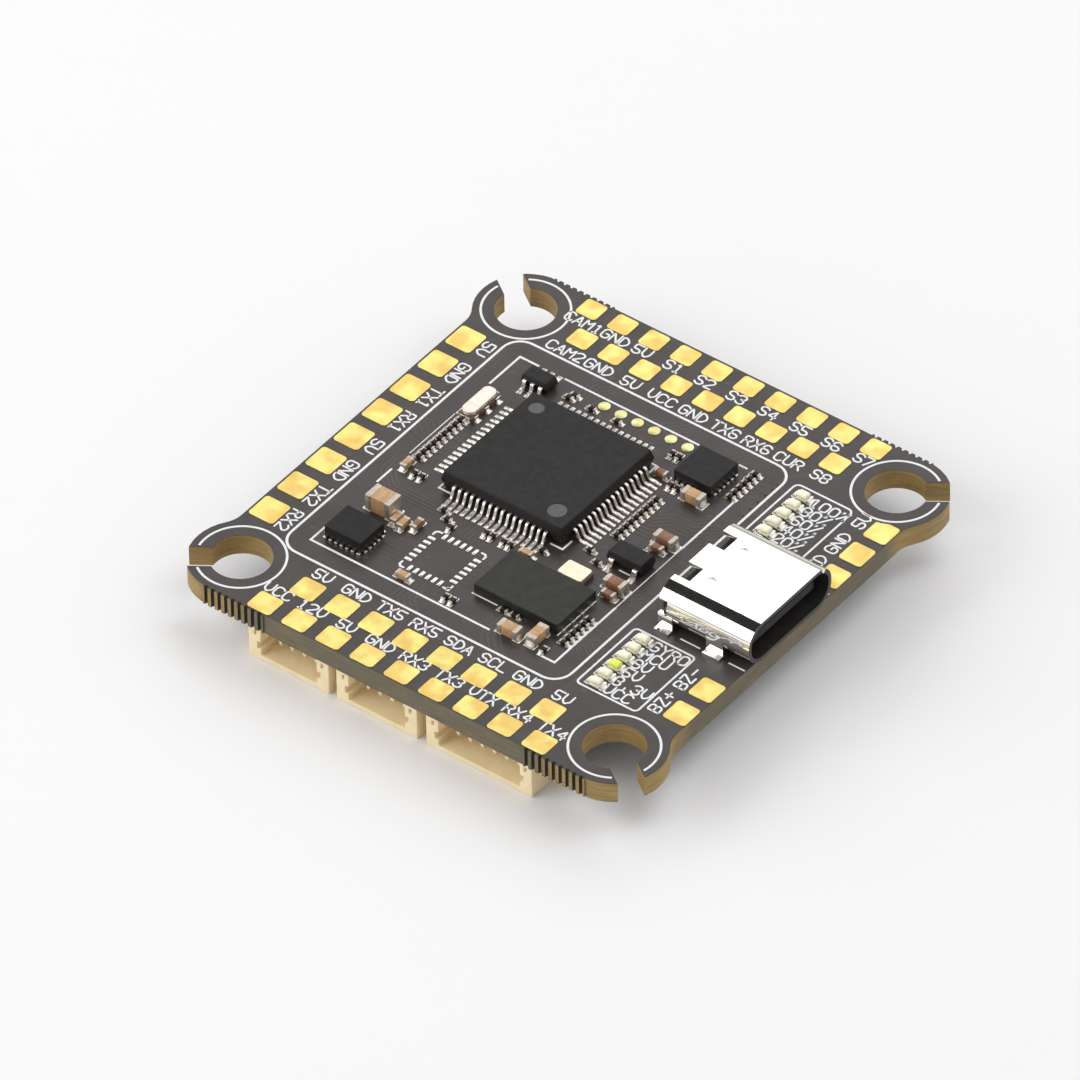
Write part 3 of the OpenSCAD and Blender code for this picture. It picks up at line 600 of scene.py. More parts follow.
def board_outline():
    """The outline of the bare board's upper face, anticlockwise."""
    bm = mm_mesh("circuit_board")
    rim = {}
    for edge in bm.edges:
        if all(abs(v.co.z - TOP) < WELD for v in edge.verts):
            steep = [abs(f.normal.z) < 0.5 for f in edge.link_faces]
            if any(steep) and not all(steep):
                a, b = edge.verts
                rim.setdefault(a, []).append(b)
                rim.setdefault(b, []).append(a)
    start = min(rim, key=lambda v: (round(v.co.x, 3), round(v.co.y, 3)))
    loop, last, here = [], None, start
    while True:
        loop.append(Vector(here.co.xy))
        ahead = [v for v in rim[here] if v is not last]
        last, here = here, ahead[0]
        if here is start:
            break
    bm.free()
    area = sum(a.x * b.y - b.x * a.y for a, b in zip(loop, loop[1:] + loop[:1]))
    return loop if area > 0 else loop[::-1]


def land(bm, low, high, base, up, margin):
    """The thin tinned land under a soldered foot or end."""
    rings = []
    for grow, z in ((margin, -0.004), (margin, 0.012), (margin - 0.02, 0.022)):
        corner = Vector((grow, grow))
        rings.append([(*p, base + up * z) for p in rounded_loop(low.xy - corner, high.xy + corner, 0.06, 2)])
    rings_to_solid(bm, rings)


def solder(bm, low, high, way, reach, rise, margin=0.03):
    """Solder that runs from a metal end or a foot down to the toe of its land."""
    up, base = sockets_up(low)
    along = 0 if way.x else 1
    sign = way[along]
    start = high[along] if sign > 0 else low[along]
    across = middle(low, high)[1 - along]
    half = (high[1 - along] - low[1 - along]) / 2
    toe_low, toe_high = low.copy(), high.copy()
    if sign > 0:
        toe_high[along] += reach
    else:
        toe_low[along] -= reach
    land(bm, toe_low, toe_high, base, up, margin)
    rings = []
    for share in (0.0, 0.25, 0.5, 0.75, 0.93):
        crest = rise * (1 - share) ** 1.15 + 0.02
        width = half * (1 - 0.35 * share ** 3)
        ring = []
        for u, v in ((-1.0, 0.0), (-0.94, 0.5), (-0.6, 0.94), (0.6, 0.94), (0.94, 0.5), (1.0, 0.0)):
            point = [0.0, 0.0, base + up * (0.01 + crest * v)]
            point[along] = start + sign * (reach * share - 0.03 * (1 - share))
            point[1 - along] = across + u * width
            ring.append(point)
        rings.append(ring)
    rings_to_solid(bm, rings)


def way_out(low, high, bodies):
    """The step along X or Y from the nearest body to one of its metal ends."""
    here = middle(low, high).xy
    offset = min((here - centre for centre in bodies), key=lambda step: step.length)
    across = abs(offset.x) > abs(offset.y)
    return Vector((math.copysign(1, offset.x), 0)) if across else Vector((0, math.copysign(1, offset.y)))


def soldered_ends(bm, ends, bodies, reach, share):
    """Solder beyond each metal end; share is how far it climbs up the end."""
    centres = [middle(*body).xy for body in bodies]
    for low, high in ends:
        solder(bm, low, high, way_out(low, high, centres), reach, (high.z - low.z) * share)


def sockets_up(low):
    """+1 for a part on the upper face, -1 for one on the underside, and the face's height."""
    return (1, TOP) if low.z > UNDER + WELD else (-1, UNDER)


def gull_lead(bm, low, high, centre, thickness):
    """A bent lead with round shoulders, filling the box of the CAD lead.

    Returns the box of its foot and the way out from the chip."""
    up, base = sockets_up(low)
    along = 0 if high.x - low.x > high.y - low.y else 1
    outward = 1 if middle(low, high)[along] > centre[along] else -1
    start = low[along] if outward > 0 else high[along]
    reach = high[along] - low[along]
    across = middle(low, high)[1 - along]
    width = high[1 - along] - low[1 - along]
    rise = high.z - low.z
    knee, heel, steps = 0.12 * reach, 0.56 * reach, 8
    path = [(0.0, rise - thickness / 2)]
    for k in range(steps + 1):
        share = k / steps
        ease = share * share * (3 - 2 * share)
        path.append((knee + (heel - knee) * share,
                     rise - thickness / 2 - (rise - thickness) * ease))
    path.append((reach, thickness / 2))
    half, t, chamfer = width / 2, thickness / 2, thickness * 0.28
    profile = [(-half, chamfer - t), (-half, t - chamfer), (chamfer - half, t), (half - chamfer, t),
               (half, t - chamfer), (half, chamfer - t), (half - chamfer, -t), (chamfer - half, -t)]
    rings = []
    for k, (r, z) in enumerate(path):
        r0, z0 = path[max(0, k - 1)]
        r1, z1 = path[min(len(path) - 1, k + 1)]
        tangent = Vector((r1 - r0, z1 - z0)).normalized()
        ring = []
        for u, v in profile:
            point = [0.0, 0.0, base + up * (z + tangent.x * v)]
            point[along] = start + outward * (r - tangent.y * v)
            point[1 - along] = across + u
            ring.append(point)
        rings.append(ring)
    rings_to_solid(bm, rings)
    foot_low, foot_high = low.copy(), high.copy()
    if outward > 0:
        foot_low[along] = start + heel
    else:
        foot_high[along] = start - heel
    way = Vector((0, 0))
    way[along] = outward
    return foot_low, foot_high, way


def dish(bm, face, discs, depth, material):
    """Sink round marks into a flat upward face. Each disc is (x, y, radius)."""
    height = face.verts[0].co.z
    host = face.material_index
    edges = list(face.edges)
    bmesh.ops.delete(bm, geom=[face], context="FACES_ONLY")
    marks = []
    for x, y, radius in discs:
        rim = [bm.verts.new((*p, height)) for p in arc((x, y), radius, 0, 360 - 360 / 36, 35)]
        edges += [bm.edges.new((a, b)) for a, b in zip(rim, rim[1:] + rim[:1])]
        marks.append((Vector((x, y, height)), rim))
    filled = bmesh.ops.triangle_fill(bm, use_beauty=True, edges=edges, normal=(0, 0, 1))
    for item in filled["geom"]:
        if isinstance(item, bmesh.types.BMFace):
            item.material_index = host
    for centre, ring in marks:
        circle = [v.co - centre for v in ring]
        for share, drop, index in ((0.985, 0.5, host), (0.97, 1.0, host), (0.93, 1.0, material)):
            sunk = centre - Vector((0, 0, depth * drop))
            inner = [bm.verts.new(sunk + spoke * share) for spoke in circle]
            for k in range(len(ring)):
                n = (k + 1) % len(ring)
                bm.faces.new((ring[k], ring[n], inner[n], inner[k])).material_index = index
            ring = inner
        bm.faces.new(ring).material_index = material


# ------------------------------------------------------------------ pieces

def make_piece(name, bm, materials, nodes=(), body=BOARD, flat_lid=False):
    """Turn a drawing in millimetres into a piece that rides on a body of the frame.

    With flat_lid, the faces that look straight up are shaded flat."""
    bmesh.ops.scale(bm, vec=(MM,) * 3, verts=bm.verts)
    bmesh.ops.recalc_face_normals(bm, faces=bm.faces)
    mesh = bpy.data.meshes.new(name)
    bm.to_mesh(mesh)
    bm.free()
    for material in materials:
        mesh.materials.append(material)
    mesh.shade_smooth()
    mesh.set_sharp_from_angle(angle=math.radians(SMOOTH_ANGLE))
    if flat_lid:
        for face in mesh.polygons:
            face.use_smooth = face.normal.z < 0.999
    piece = bpy.data.objects.new(name, mesh)
    bpy.context.scene.collection.objects.link(piece)
    if not flat_lid:
        even = piece.modifiers.new("Even shading", "WEIGHTED_NORMAL")
        even.keep_sharp = True
    if nodes:
        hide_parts(*nodes)
    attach(piece, body)


def dress(node, material):
    """Give a CAD node that keeps its own shape its finish."""
    slots = frame["nodes"][node].material_slots
    if not slots:
        frame["nodes"][node].data.materials.append(material)
    for slot in frame["nodes"][node].material_slots:
        slot.material = material


def soft_piece(node, edge, material, segments=2, angle=30, body=BOARD):
    """A CAD node again, with rounded edges."""
    make_piece(f"{node}_finished", softened(node, edge, segments, angle), [material], [node], body)


RIGHT_LEGENDS_X = 15.2
LETTER_WIDE, LETTER_TALL = 4, 6  # steps of the grid that the letters are drawn on
LETTER_PITCH = 5.25              # from one letter to the next, in steps of the grid

# Strokes of the capital letters and digits; a point is "xy" in steps of the grid.
LETTERS = {
    "A": "00 26 40,12 32", "B": "00 06 36 45 44 33 03,33 42 41 30 00", "C": "45 36 16 05 01 10 30 41",
    "D": "00 06 26 44 42 20 00", "E": "46 06 00 40,03 33", "G": "45 36 16 05 01 10 30 41 43 23",
    "L": "06 00 40", "M": "00 06 23 46 40", "N": "00 06 40 46", "O": "10 01 05 16 36 45 41 30 10",
    "P": "00 06 36 45 44 33 03", "R": "00 06 36 45 44 33 03,23 40",
    "S": "45 36 16 05 04 13 33 42 41 30 10 01", "T": "06 46,26 20", "U": "06 01 10 30 41 46",
    "V": "06 02 20 42 46", "X": "00 46,06 40", "Y": "06 23 46,23 20", "Z": "06 46 00 40",
    "0": "10 01 05 16 36 45 41 30 10", "1": "15 26 20,10 30", "2": "05 16 36 45 44 00 40",
    "3": "05 16 36 45 44 33 23,33 42 41 30 10 01", "4": "30 36 02 42", "5": "46 06 03 33 42 41 30 10 01",
    "6": "45 36 16 05 01 10 30 41 42 33 03", "7": "06 46 10",
    "8": "13 04 05 16 36 45 44 33 13 02 01 10 30 41 42 33", "9": "01 10 30 41 45 36 16 05 04 13 43",
    "%": "00 46,05 16 15 05,30 41 31 30", "+": "03 43,21 25", "-": "03 43", ".": "20 21", " ": "",
}


def eased(points, cut):
    """Cut the corners of a stroke by a length, so that it bends smoothly."""
    smooth = [points[0]]
    for before, corner, after in zip(points, points[1:], points[2:]):
        for end in (before, after):
            reach = min(cut, (end - corner).length * 0.4)
            smooth.append(corner + (end - corner).normalized() * reach)
    return smooth + [points[-1]]


def relief_levels(height, below=False):
    """Where a raised line starts inside the mask, and its crest outside."""
    return (UNDER + ROOTED, UNDER - height) if below else (TOP - ROOTED, TOP + height)


def word_width(text):
    """How wide a legend is, in millimetres."""
    return (len(text) * LETTER_PITCH - (LETTER_PITCH - LETTER_WIDE)) * size("letter_h") / LETTER_TALL


def write(bm, text, at, turn=0, mirrored=False):
    """Print a legend, centred on a place of the mask, turned in degrees."""
    height = size("letter_h")
    unit = height / LETTER_TALL
    advance = LETTER_PITCH * unit
    width = word_width(text)
    spin = Matrix.Rotation(math.radians(turn), 2)
    low, high = relief_levels(size("ink_t"), mirrored)
    for k, letter in enumerate(text):
        for stroke in filter(None, LETTERS[letter].split(",")):
            path = [Vector((int(p[0]) * unit + k * advance - width / 2, int(p[1]) * unit - height / 2))
                    for p in stroke.split()]
            if mirrored:
                path = [Vector((-p.x, p.y)) for p in path]
            ribbon(bm, [spin @ p + Vector(at) for p in eased(path, unit * 0.55)], size("stroke_w"),
                   low, high, round_ends=True)


def line(bm, *points, width=None, closed=False, mirrored=False):
    """Print a line through the points."""
    ribbon(bm, points, width or size("ink_w"), *relief_levels(size("ink_t"), mirrored), closed=closed)


def rows(node, axis):
    """The centres of a node's pads, grouped into rows along the axis, outermost row first."""
    groups = {}
    for low, high in solids(node):
        centre = middle(low, high)
        groups.setdefault(round(centre[1 - axis]), []).append(centre)
    ordered = sorted(groups.items(), key=lambda item: -abs(item[0]))
    return [sorted(group, key=lambda c: c[axis]) for _, group in ordered]


class FlightBoardOperator:
    """What every step shares."""
    bl_options = {"REGISTER", "UNDO"}

    def execute(self, context):
        self.build()
        return {"FINISHED"}


class FLIGHTBOARD_OT_laminate(FlightBoardOperator, bpy.types.Operator):
    """Build the bare laminate with its routed edges."""
    bl_idname = "flightboard.laminate"
    bl_label = "Laminate"

    @staticmethod
    def edge_material(at):
        """1 inside a break-off groove, which takes the painted groove shade, 0 elsewhere."""
        sunk = BOARD_HIGH.y - abs(at.y)
        return int(0.02 < sunk < GROOVE_DEPTH and GROOVES[0] < abs(at.x) < GROOVES[1])

    def build(self):
        bm = bmesh.new()
        skin = size("mask_t")
        plate(bm, board_outline(), UNDER + skin, TOP - skin, 0.012, self.edge_material)
        # The second finish is painted shade for the floors of the grooves.
        make_piece("laminate_core", bm, [laminate_finish(), groove_shade_finish()], ["circuit_board"])


# Bundles of masked traces on the upper face: the middle path, how many, and their pitch
TOP_TRACES = [
    ([(7.0, -8.0), (8.2, -8.0), (9.1, -8.75), (10.2, -8.75)], 6, 0.55),
    ([(7.1, 9.75), (8.3, 9.75), (9.2, 8.7), (10.2, 8.7)], 6, 0.54),
    ([(2.3, 3.1), (2.9, 3.1)], 9, 0.54),
    ([(3.4, 3.1), (4.4, 3.1), (5.3, 4.0), (7.0, 4.0), (8.2, 5.2)], 8, 0.34),
    ([(-11.6, 1.6), (-10.2, 1.6)], 9, 0.56),
    ([(-12.4, 1.6), (-13.2, 1.6), (-13.7, 2.1), (-14.6, 2.1)], 6, 0.42),
    ([(-6.6, 9.0), (-6.6, 11.8), (-5.2, 13.2), (-5.2, 14.0)], 5, 0.36),
    ([(-1.4, 9.0), (-1.4, 9.8), (1.2, 12.4), (1.2, 13.9)], 6, 0.36),
    ([(5.2, 10.6), (5.2, 11.6), (6.6, 13.0), (6.6, 14.1)], 5, 0.36),
    ([(-7.6, -3.6), (-7.6, -4.0), (-11.6, -4.0), (-12.8, -2.8), (-12.8, -1.0)], 4, 0.3),
    ([(-4.4, -3.6), (-4.4, -5.2)], 5, 0.36),
    ([(-2.2, -7.7), (-1.2, -7.7)], 5, 0.5),
    ([(-4.4, -10.1), (-4.4, -12.0), (-3.2, -13.2), (-3.2, -14.1)], 5, 0.36),
    ([(-9.0, -9.2), (-6.9, -9.2)], 4, 0.42),
    ([(2.4, -9.2), (2.4, -11.6), (3.6, -12.8), (3.6, -14.1)], 4, 0.4),
    ([(4.6, -3.0), (7.4, -3.0), (8.4, -2.0), (10.2, -2.0)], 4, 0.42),
    ([(6.6, 1.2), (10.2, 1.2)], 3, 0.5),
    ([(-9.8, 8.4), (-9.8, 7.2), (-10.3, 6.7)], 3, 0.4),
    ([(-13.0, 12.0), (-13.9, 11.2), (-13.9, 6.4), (-14.6, 5.7)], 3, 0.36),
    ([(9.4, -4.9), (9.4, -12.9), (10.6, -14.1)], 1, 0.4),
    ([(8.6, 4.9), (8.6, 12.0), (10.0, 13.4), (11.2, 13.4)], 1, 0.4),
]
# The same on the underside
UNDER_TRACES = [
    ([(-11.6, -6.2), (-11.6, -12.6)], 5, 0.45),
    ([(-3.0, -10.6), (-3.0, -12.8)], 6, 0.5),
    ([(-2.0, -4.4), (-0.6, -3.0), (-0.6, 3.4), (-2.4, 5.2), (-2.4, 12.6)], 7, 0.38),
    ([(4.2, 4.6), (6.6, 4.6)], 3, 0.8),
    ([(11.0, 6.2), (11.0, 11.4), (4.6, 12.6)], 4, 0.4),
    ([(-13.2, 4.4), (-11.6, 4.4)], 4, 0.5),
    ([(6.6, -12.8), (6.6, -9.2), (11.4, -4.4), (11.4, 2.0)], 5, 0.4),
]


def trace_bundle(bm, path, count, pitch, low, high):
    """Parallel traces either side of a path, with their corners cut alike."""
    path = [Vector(p) for p in path]
    for k in range(count):
        shift = (k - (count - 1) / 2) * pitch
        moved = []
        for j, point in enumerate(path):
            before = (point - path[j - 1]).normalized() if j else (path[1] - path[0]).normalized()
            after = (path[j + 1] - point).normalized() if j < len(path) - 1 else before
            side = Vector((-(before + after).y, (before + after).x)).normalized()
            reach = 1 / max(0.5, side.dot(Vector((-after.y, after.x))))
            moved.append(point + side * shift * reach)
        ribbon(bm, moved, size("trace_w"), low, high, round_ends=True, slope=0.35)


def via(bm, at, radius, base, height):
    """A masked via: a low ring with a dimple in the middle."""
    profile = [(1.0, -0.3), (0.9, 0.7), (0.72, 1.0), (0.5, 0.8), (0.3, 0.1)]
    rings = [[(*p, base + height * z) for p in arc(at, radius * r, 0, 360 - 360 / 14, 13)]
             for r, z in profile]
    rings_to_solid(bm, rings)


def scatter_vias(bm, seed, count, base, height, keep_clear):
    """Vias at free places, never closer together than a millimetre and clear of bare metal."""
    rng = random.Random(seed)
    placed = []
    tries = 0
    while len(placed) < count and tries < count * 40:
        tries += 1
        at = Vector((rng.uniform(-16.9, 16.9), rng.uniform(-17.9, 17.9)))
        in_lobe = abs(at.x) > 10.6 and abs(at.y) > 11.6
        if in_lobe or any((at - other).length < 1.0 for other in placed):
            continue
        if any(low.x - 0.3 < at.x < high.x + 0.3 and low.y - 0.3 < at.y < high.y + 0.3
               for low, high in keep_clear):
            continue
        placed.append(at)
        via(bm, at, size("via_d") / 2 * rng.uniform(0.75, 1.1), base, height)


class FLIGHTBOARD_OT_solder_mask(FlightBoardOperator, bpy.types.Operator):
    """Coat both faces with mask and raise the masked traces and vias."""
    bl_idname = "flightboard.solder_mask"
    bl_label = "Solder mask"

    def build(self):
        skin, relief = size("mask_t"), size("trace_t")
        outline = inset(board_outline(), 0.02)
        pads = [s for node in ("rear_pads", "front_pads", "left_pads", "right_pads",
                               "programming_pads", "spare_footprint_pads") for s in solids(node)]
        feet = [s for node in ("socket_anchor_tabs", "power_inductors", "osd_crystal")
                for s in solids(node)]
        for name, low, high, traces, clear, seed in (
                ("upper", TOP - skin, TOP, TOP_TRACES, pads, 4),
                ("lower", UNDER, UNDER + skin, UNDER_TRACES, feet, 9)):
            sheet = bmesh.new()
            plate(sheet, outline, low, high, 0.01)
            make_piece(f"mask_{name}", sheet, [mask_finish()])
            copper = bmesh.new()
            base, crest = relief_levels(relief, name == "lower")
            for path, count, pitch in traces:
                trace_bundle(copper, path, count, pitch, base, crest)
            outside = TOP if name == "upper" else UNDER
            scatter_vias(copper, seed, settings().sizes.vias, outside, crest - outside, clear)
            make_piece(f"masked_copper_{name}", copper, [mask_finish(1.5)])


class FLIGHTBOARD_OT_legends(FlightBoardOperator, bpy.types.Operator):
    """Print the frame lines, rings, outlines and legends."""
    bl_idname = "flightboard.legends"
    bl_label = "Printed legends"

    def pad_legends(self, bm):
        """One legend beside each solder pad."""
        outer, inner = rows("rear_pads", 0)
        for pads, words, drop in ((outer, "CAM1 GND 5V S1 S2 S3 S4 S5 S6 S7", 1.32),
                                  (inner, "CAM2 GND 5V VCC GND TX6 RX6 CUR S8", 1.56)):
            for pad, word in zip(pads, words.split()):
                nudge = {"CAM1": 0.38, "GND": 0.4 if pads is outer else 0, "CAM2": -0.18}.get(word, 0)
                write(bm, word, (pad.x + nudge, pad.y - drop))
        outer, inner = rows("front_pads", 0)
        for pads, words, rise in ((inner, "5V GND TX5 RX5 SDA SCL GND 5V", 1.6),
                                  (outer, "VCC 12V 5V GND RX3 TX3 VTX RX4 TX4", 1.42)):
            for pad, word in zip(pads, words.split()):
                write(bm, word, (pad.x, pad.y + rise))
        for pad, word in zip(rows("left_pads", 1)[0], "RX2 TX2 GND 5V RX1 TX1 GND 5V".split()):
            write(bm, word, (pad.x + 1.63, pad.y), -90)
        for pad, word in zip(rows("right_pads", 1)[0], "BZ+ BZ- LED GND 5V".split()):
            write(bm, word, (RIGHT_LEGENDS_X, pad.y + 0.15), 90)

    def frames(self, bm):
        """The two nested frames round the processor."""
        line(bm, *rounded_loop((-14.15, -12.75), (8.85, 12.72), 1.4, 8), closed=True)
        fine = 0.18
        left, right, rear, front = -12.65, 7.33, 11.22, -11.22
        line(bm, (left, 7.9), (left, rear), (-11.05, rear), width=fine)
        line(bm, (-8.95, rear), (2.15, rear), width=fine)
        line(bm, (5.4, rear), (6.1, rear), width=fine)
        line(bm, (right, 8.2), (right, 2.4), width=fine)
        line(bm, (right, -4.7), (right, front), (5.9, front), width=fine)
        line(bm, (2.05, front), (left, front), (left, -9.6), width=fine)
        line(bm, (left, 4.2), (left, -0.7), width=0.08)
        line(bm, (left, -2.6), (left, -4.2), width=fine)
        line(bm, (right, 2.4), (right, -4.7), width=0.09)

    def chip_marks(self, bm):
        """Corner marks and outlines beside the chips."""
        low, high = mm_box("processor_leads")
        centre = middle(low, high)
        reach, arm = 5.08, 1.0
        for sx, sy in CORNERS:
            corner = centre.xy + Vector((sx * reach, sy * reach))
            line(bm, corner - Vector((sx * arm, 0)), corner, corner - Vector((0, sy * arm)), width=0.16)
        low, high = mm_box("memory_body")
        line(bm, (low.x - 0.12, low.y - 0.08), (low.x + 2.0, low.y - 0.08), width=0.12)
        line(bm, (high.x + 0.06, low.y - 0.1), (high.x + 0.06, high.y - 0.1), width=0.1)
        low, high = mm_box("spare_footprint_pads")
        reach, arm = (high.x - low.x) / 2 - 0.08, 0.42
        for sx, sy in CORNERS:
            corner = middle(low, high).xy + Vector((sx, sy)) * reach
            hook = [corner - Vector((sx * arm, 0)), corner, corner - Vector((0, sy * arm))]
            ribbon(bm, eased(hook, 0.16), 0.17, *relief_levels(size("ink_t")), round_ends=True)
        first_pin = middle(low, high).xy + Vector((reach - 0.06, 0.06 - reach))
        line(bm, first_pin - Vector((0.14, 0)), first_pin + Vector((0.14, 0)), width=0.34)
        low, high = mm_box("transistor_body")
        line(bm, (5.3, low.y - 0.14), (6.2, low.y - 0.14), width=0.12)
        low, high = mm_box("usb_shell")
        for start, end in ((12.5, 14.1), (16.4, 17.7)):
            for y in (low.y + 0.35, high.y - 0.35):
                line(bm, (start, y), (end, y), width=0.12)

    def led_boxes(self, bm):
        """The two boxes that say what each LED shows."""
        leds = [middle(*s) for s in solids("led_bases")]
        upper = sorted((p for p in leds if p.y > 0), key=lambda p: -p.y)
        lower = sorted((p for p in leds if p.y < 0), key=lambda p: -p.y)
        line(bm, *rounded_loop((9.55, -11.85), (14.42, -5.45), 0.3, 4), width=0.16, closed=True)
        line(bm, *rounded_loop((9.55, 5.3), (14.17, 12.0), 0.4, 4), width=0.16, closed=True)
        for places, words in ((upper, "100% 80% 60% 40% 20% 0%"), (lower, "GYRO MCU 9V 5V 3.3V VCC")):
            for place, word in zip(places, words.split()):
                write(bm, word, (place.x + 0.68 + word_width(word) / 2, place.y + 0.05))

    def rings(self, bm):
        """An open ring round each mounting hole."""
        half_x, half_y = HOLE_AT
        slant, gap = math.radians(35), 21
        for sx, sy in CORNERS:
            toward = math.degrees(math.atan2(sy * math.sin(slant), sx * math.cos(slant)))
            points = arc((sx * half_x, sy * half_y), size("ring_r"), toward + gap, toward + 360 - gap, 72)
            line(bm, *points, width=0.18)

    def build(self):
        bm = bmesh.new()
        self.pad_legends(bm)
        self.frames(bm)
        self.chip_marks(bm)
        self.led_boxes(bm)
        self.rings(bm)
        make_piece("printed_legends", bm, [ink_finish()])
        below = bmesh.new()
        for word, node, gap in (("BOOT", "boot_button_base", -1.0), ("ESC", "esc_socket_contacts", -1.2),
                                ("BARO", "barometer_lid", -1.2)):
            low, high = mm_box(node)
            write(below, word, (middle(low, high).x, low.y + gap), mirrored=True)
        for node, margin in (("power_inductors", 0.25), ("osd_crystal", 0.2), ("osd_chip_leads", 0.25)):
            boxes = solids(node) if node != "osd_chip_leads" else [mm_box(node)]
            for low, high in boxes:
                corner = Vector((margin, margin))
                line(below, *rounded_loop(low.xy - corner, high.xy + corner, 0.2, 3), width=0.14,
                     closed=True, mirrored=True)
        make_piece("printed_legends_lower", below, [ink_finish()])


class FLIGHTBOARD_OT_pads(FlightBoardOperator, bpy.types.Operator):
    """Plate the solder pads and the round programming pads."""
    bl_idname = "flightboard.pads"
    bl_label = "Solder pads"

    def build(self):
        for node in ("rear_pads", "front_pads", "left_pads", "right_pads"):
            soft_piece(node, size("pad_edge"), gold_finish(), 2)
        pale = gold_finish("pale_gold_plating", settings().colours.pale_gold)
        soft_piece("programming_pads", size("pad_edge"), pale, 2)
        soft_piece("spare_footprint_pads", 0.015, tin_finish(), 2)


class FLIGHTBOARD_OT_leaded_chips(FlightBoardOperator, bpy.types.Operator):
    """Build the chips with bent leads: bodies, leads and their solder."""
    bl_idname = "flightboard.leaded_chips"
    bl_label = "Leaded chips"

    def processor(self):
        bm = softened("processor_body", 0.07, 3, 20)
        low, high = mm_box("processor_body")
        lid = max((f for f in bm.faces if f.normal.z > 0.99), key=lambda f: f.calc_area())
        centre = middle(low, high)
        dish(bm, lid, [(centre.x - 3.7, centre.y + 3.65, 0.56), (centre.x + 3.5, centre.y - 3.55, 0.68)],
             0.035, 1)
        make_piece("processor_body_finished", bm, [mould_finish(), mark_finish()], ["processor_body"],
                   flat_lid=True)

    def leads(self, node, bodies, thickness, toe=0.25):
        metal, joints = bmesh.new(), bmesh.new()
        centres = [middle(*s) for s in solids(bodies)]
        for low, high in solids(node):
            nearest = min(centres, key=lambda c: (c.xy - middle(low, high).xy).length)
            foot_low, foot_high, way = gull_lead(metal, low, high, nearest, thickness)
            solder(joints, foot_low, foot_high, way, toe, thickness * 1.1)
        make_piece(f"{node}_finished", metal, [tin_finish()], [node])
        make_piece(f"{node}_solder", joints, [tin_finish()])

    def build(self):
        self.processor()
        self.leads("processor_leads", "processor_body", 0.13, size("lead_toe"))
        for body, leads, thickness in (("regulator_body", "regulator_leads", 0.12),
                                       ("transistor_body", "transistor_leads", 0.14),
                                       ("osd_chip_body", "osd_chip_leads", 0.13),
                                       ("power_chip_bodies", "power_chip_leads", 0.14)):
            soft_piece(body, size("chip_edge"), mould_finish(), 2, 20)
            self.leads(leads, body, thickness)


class FLIGHTBOARD_OT_leadless_chips(FlightBoardOperator, bpy.types.Operator):
    """Build the chips without leads: gyro, memory and signal chip."""
    bl_idname = "flightboard.leadless_chips"
    bl_label = "Leadless chips"

    def build(self):
        colours = settings().colours
        for node, finish in (
                ("gyro_body", mould_finish("gyro_moulding", shade(colours.mould, 0.8), (0.5, 0.62))),
                ("memory_body", mould_finish("memory_moulding", tuple(colours.memory), (0.42, 0.56))),
                ("signal_chip_body", mould_finish())):
            soft_piece(node, 0.035, finish, 2)
        for node in ("gyro_pads", "memory_pads", "signal_chip_pads"):
            soft_piece(node, 0.02, tin_finish(), 2)


class FLIGHTBOARD_OT_crystals(FlightBoardOperator, bpy.types.Operator):
    """Build the resonator and the crystals."""
    bl_idname = "flightboard.crystals"
    bl_label = "Resonator and crystals"

    def build(self):
        colours = settings().colours
        base = ceramic_finish("dark_ceramic", colours.dark_ceramic)
        soft_piece("resonator_base", 0.05, base)
        soft_piece("resonator_lid", 0.07, plated_lid_finish("plated_lid", colours.lid), 3)
        soft_piece("crystal_base", 0.04, base)
        soft_piece("crystal_lid", 0.05, plated_lid_finish("cream_lid", colours.cream_lid),
                   3)
        soft_piece("osd_crystal", 0.12, nickel_finish(), 3)
        self.terminals()

    def terminals(self):
        """The resonator's wrapped terminals: three on each long side and one on each end."""
        low, high = mm_box("resonator_base")
        at = middle(low, high)
        top = high.z - 0.04
        bm = bmesh.new()
        for x, way in ((low.x, -1), (high.x, 1)):
            for y in (at.y - 1.15, at.y, at.y + 1.15):
                box = (Vector((x - 0.08, y - 0.21, low.z)), Vector((x + 0.08, y + 0.21, top)))
                soft_boxes(bm, [box], 0.03)
                solder(bm, *box, Vector((way, 0)), size("toe_reach"), 0.2)
        for y, way in ((low.y, -1), (high.y, 1)):
            box = (Vector((at.x - 0.42, y - 0.06, low.z)), Vector((at.x + 0.42, y + 0.08, top)))
            soft_boxes(bm, [box], 0.03)
            solder(bm, *box, Vector((0, way)), 0.08, 0.1)
        make_piece("resonator_terminals", bm, [tin_finish()])


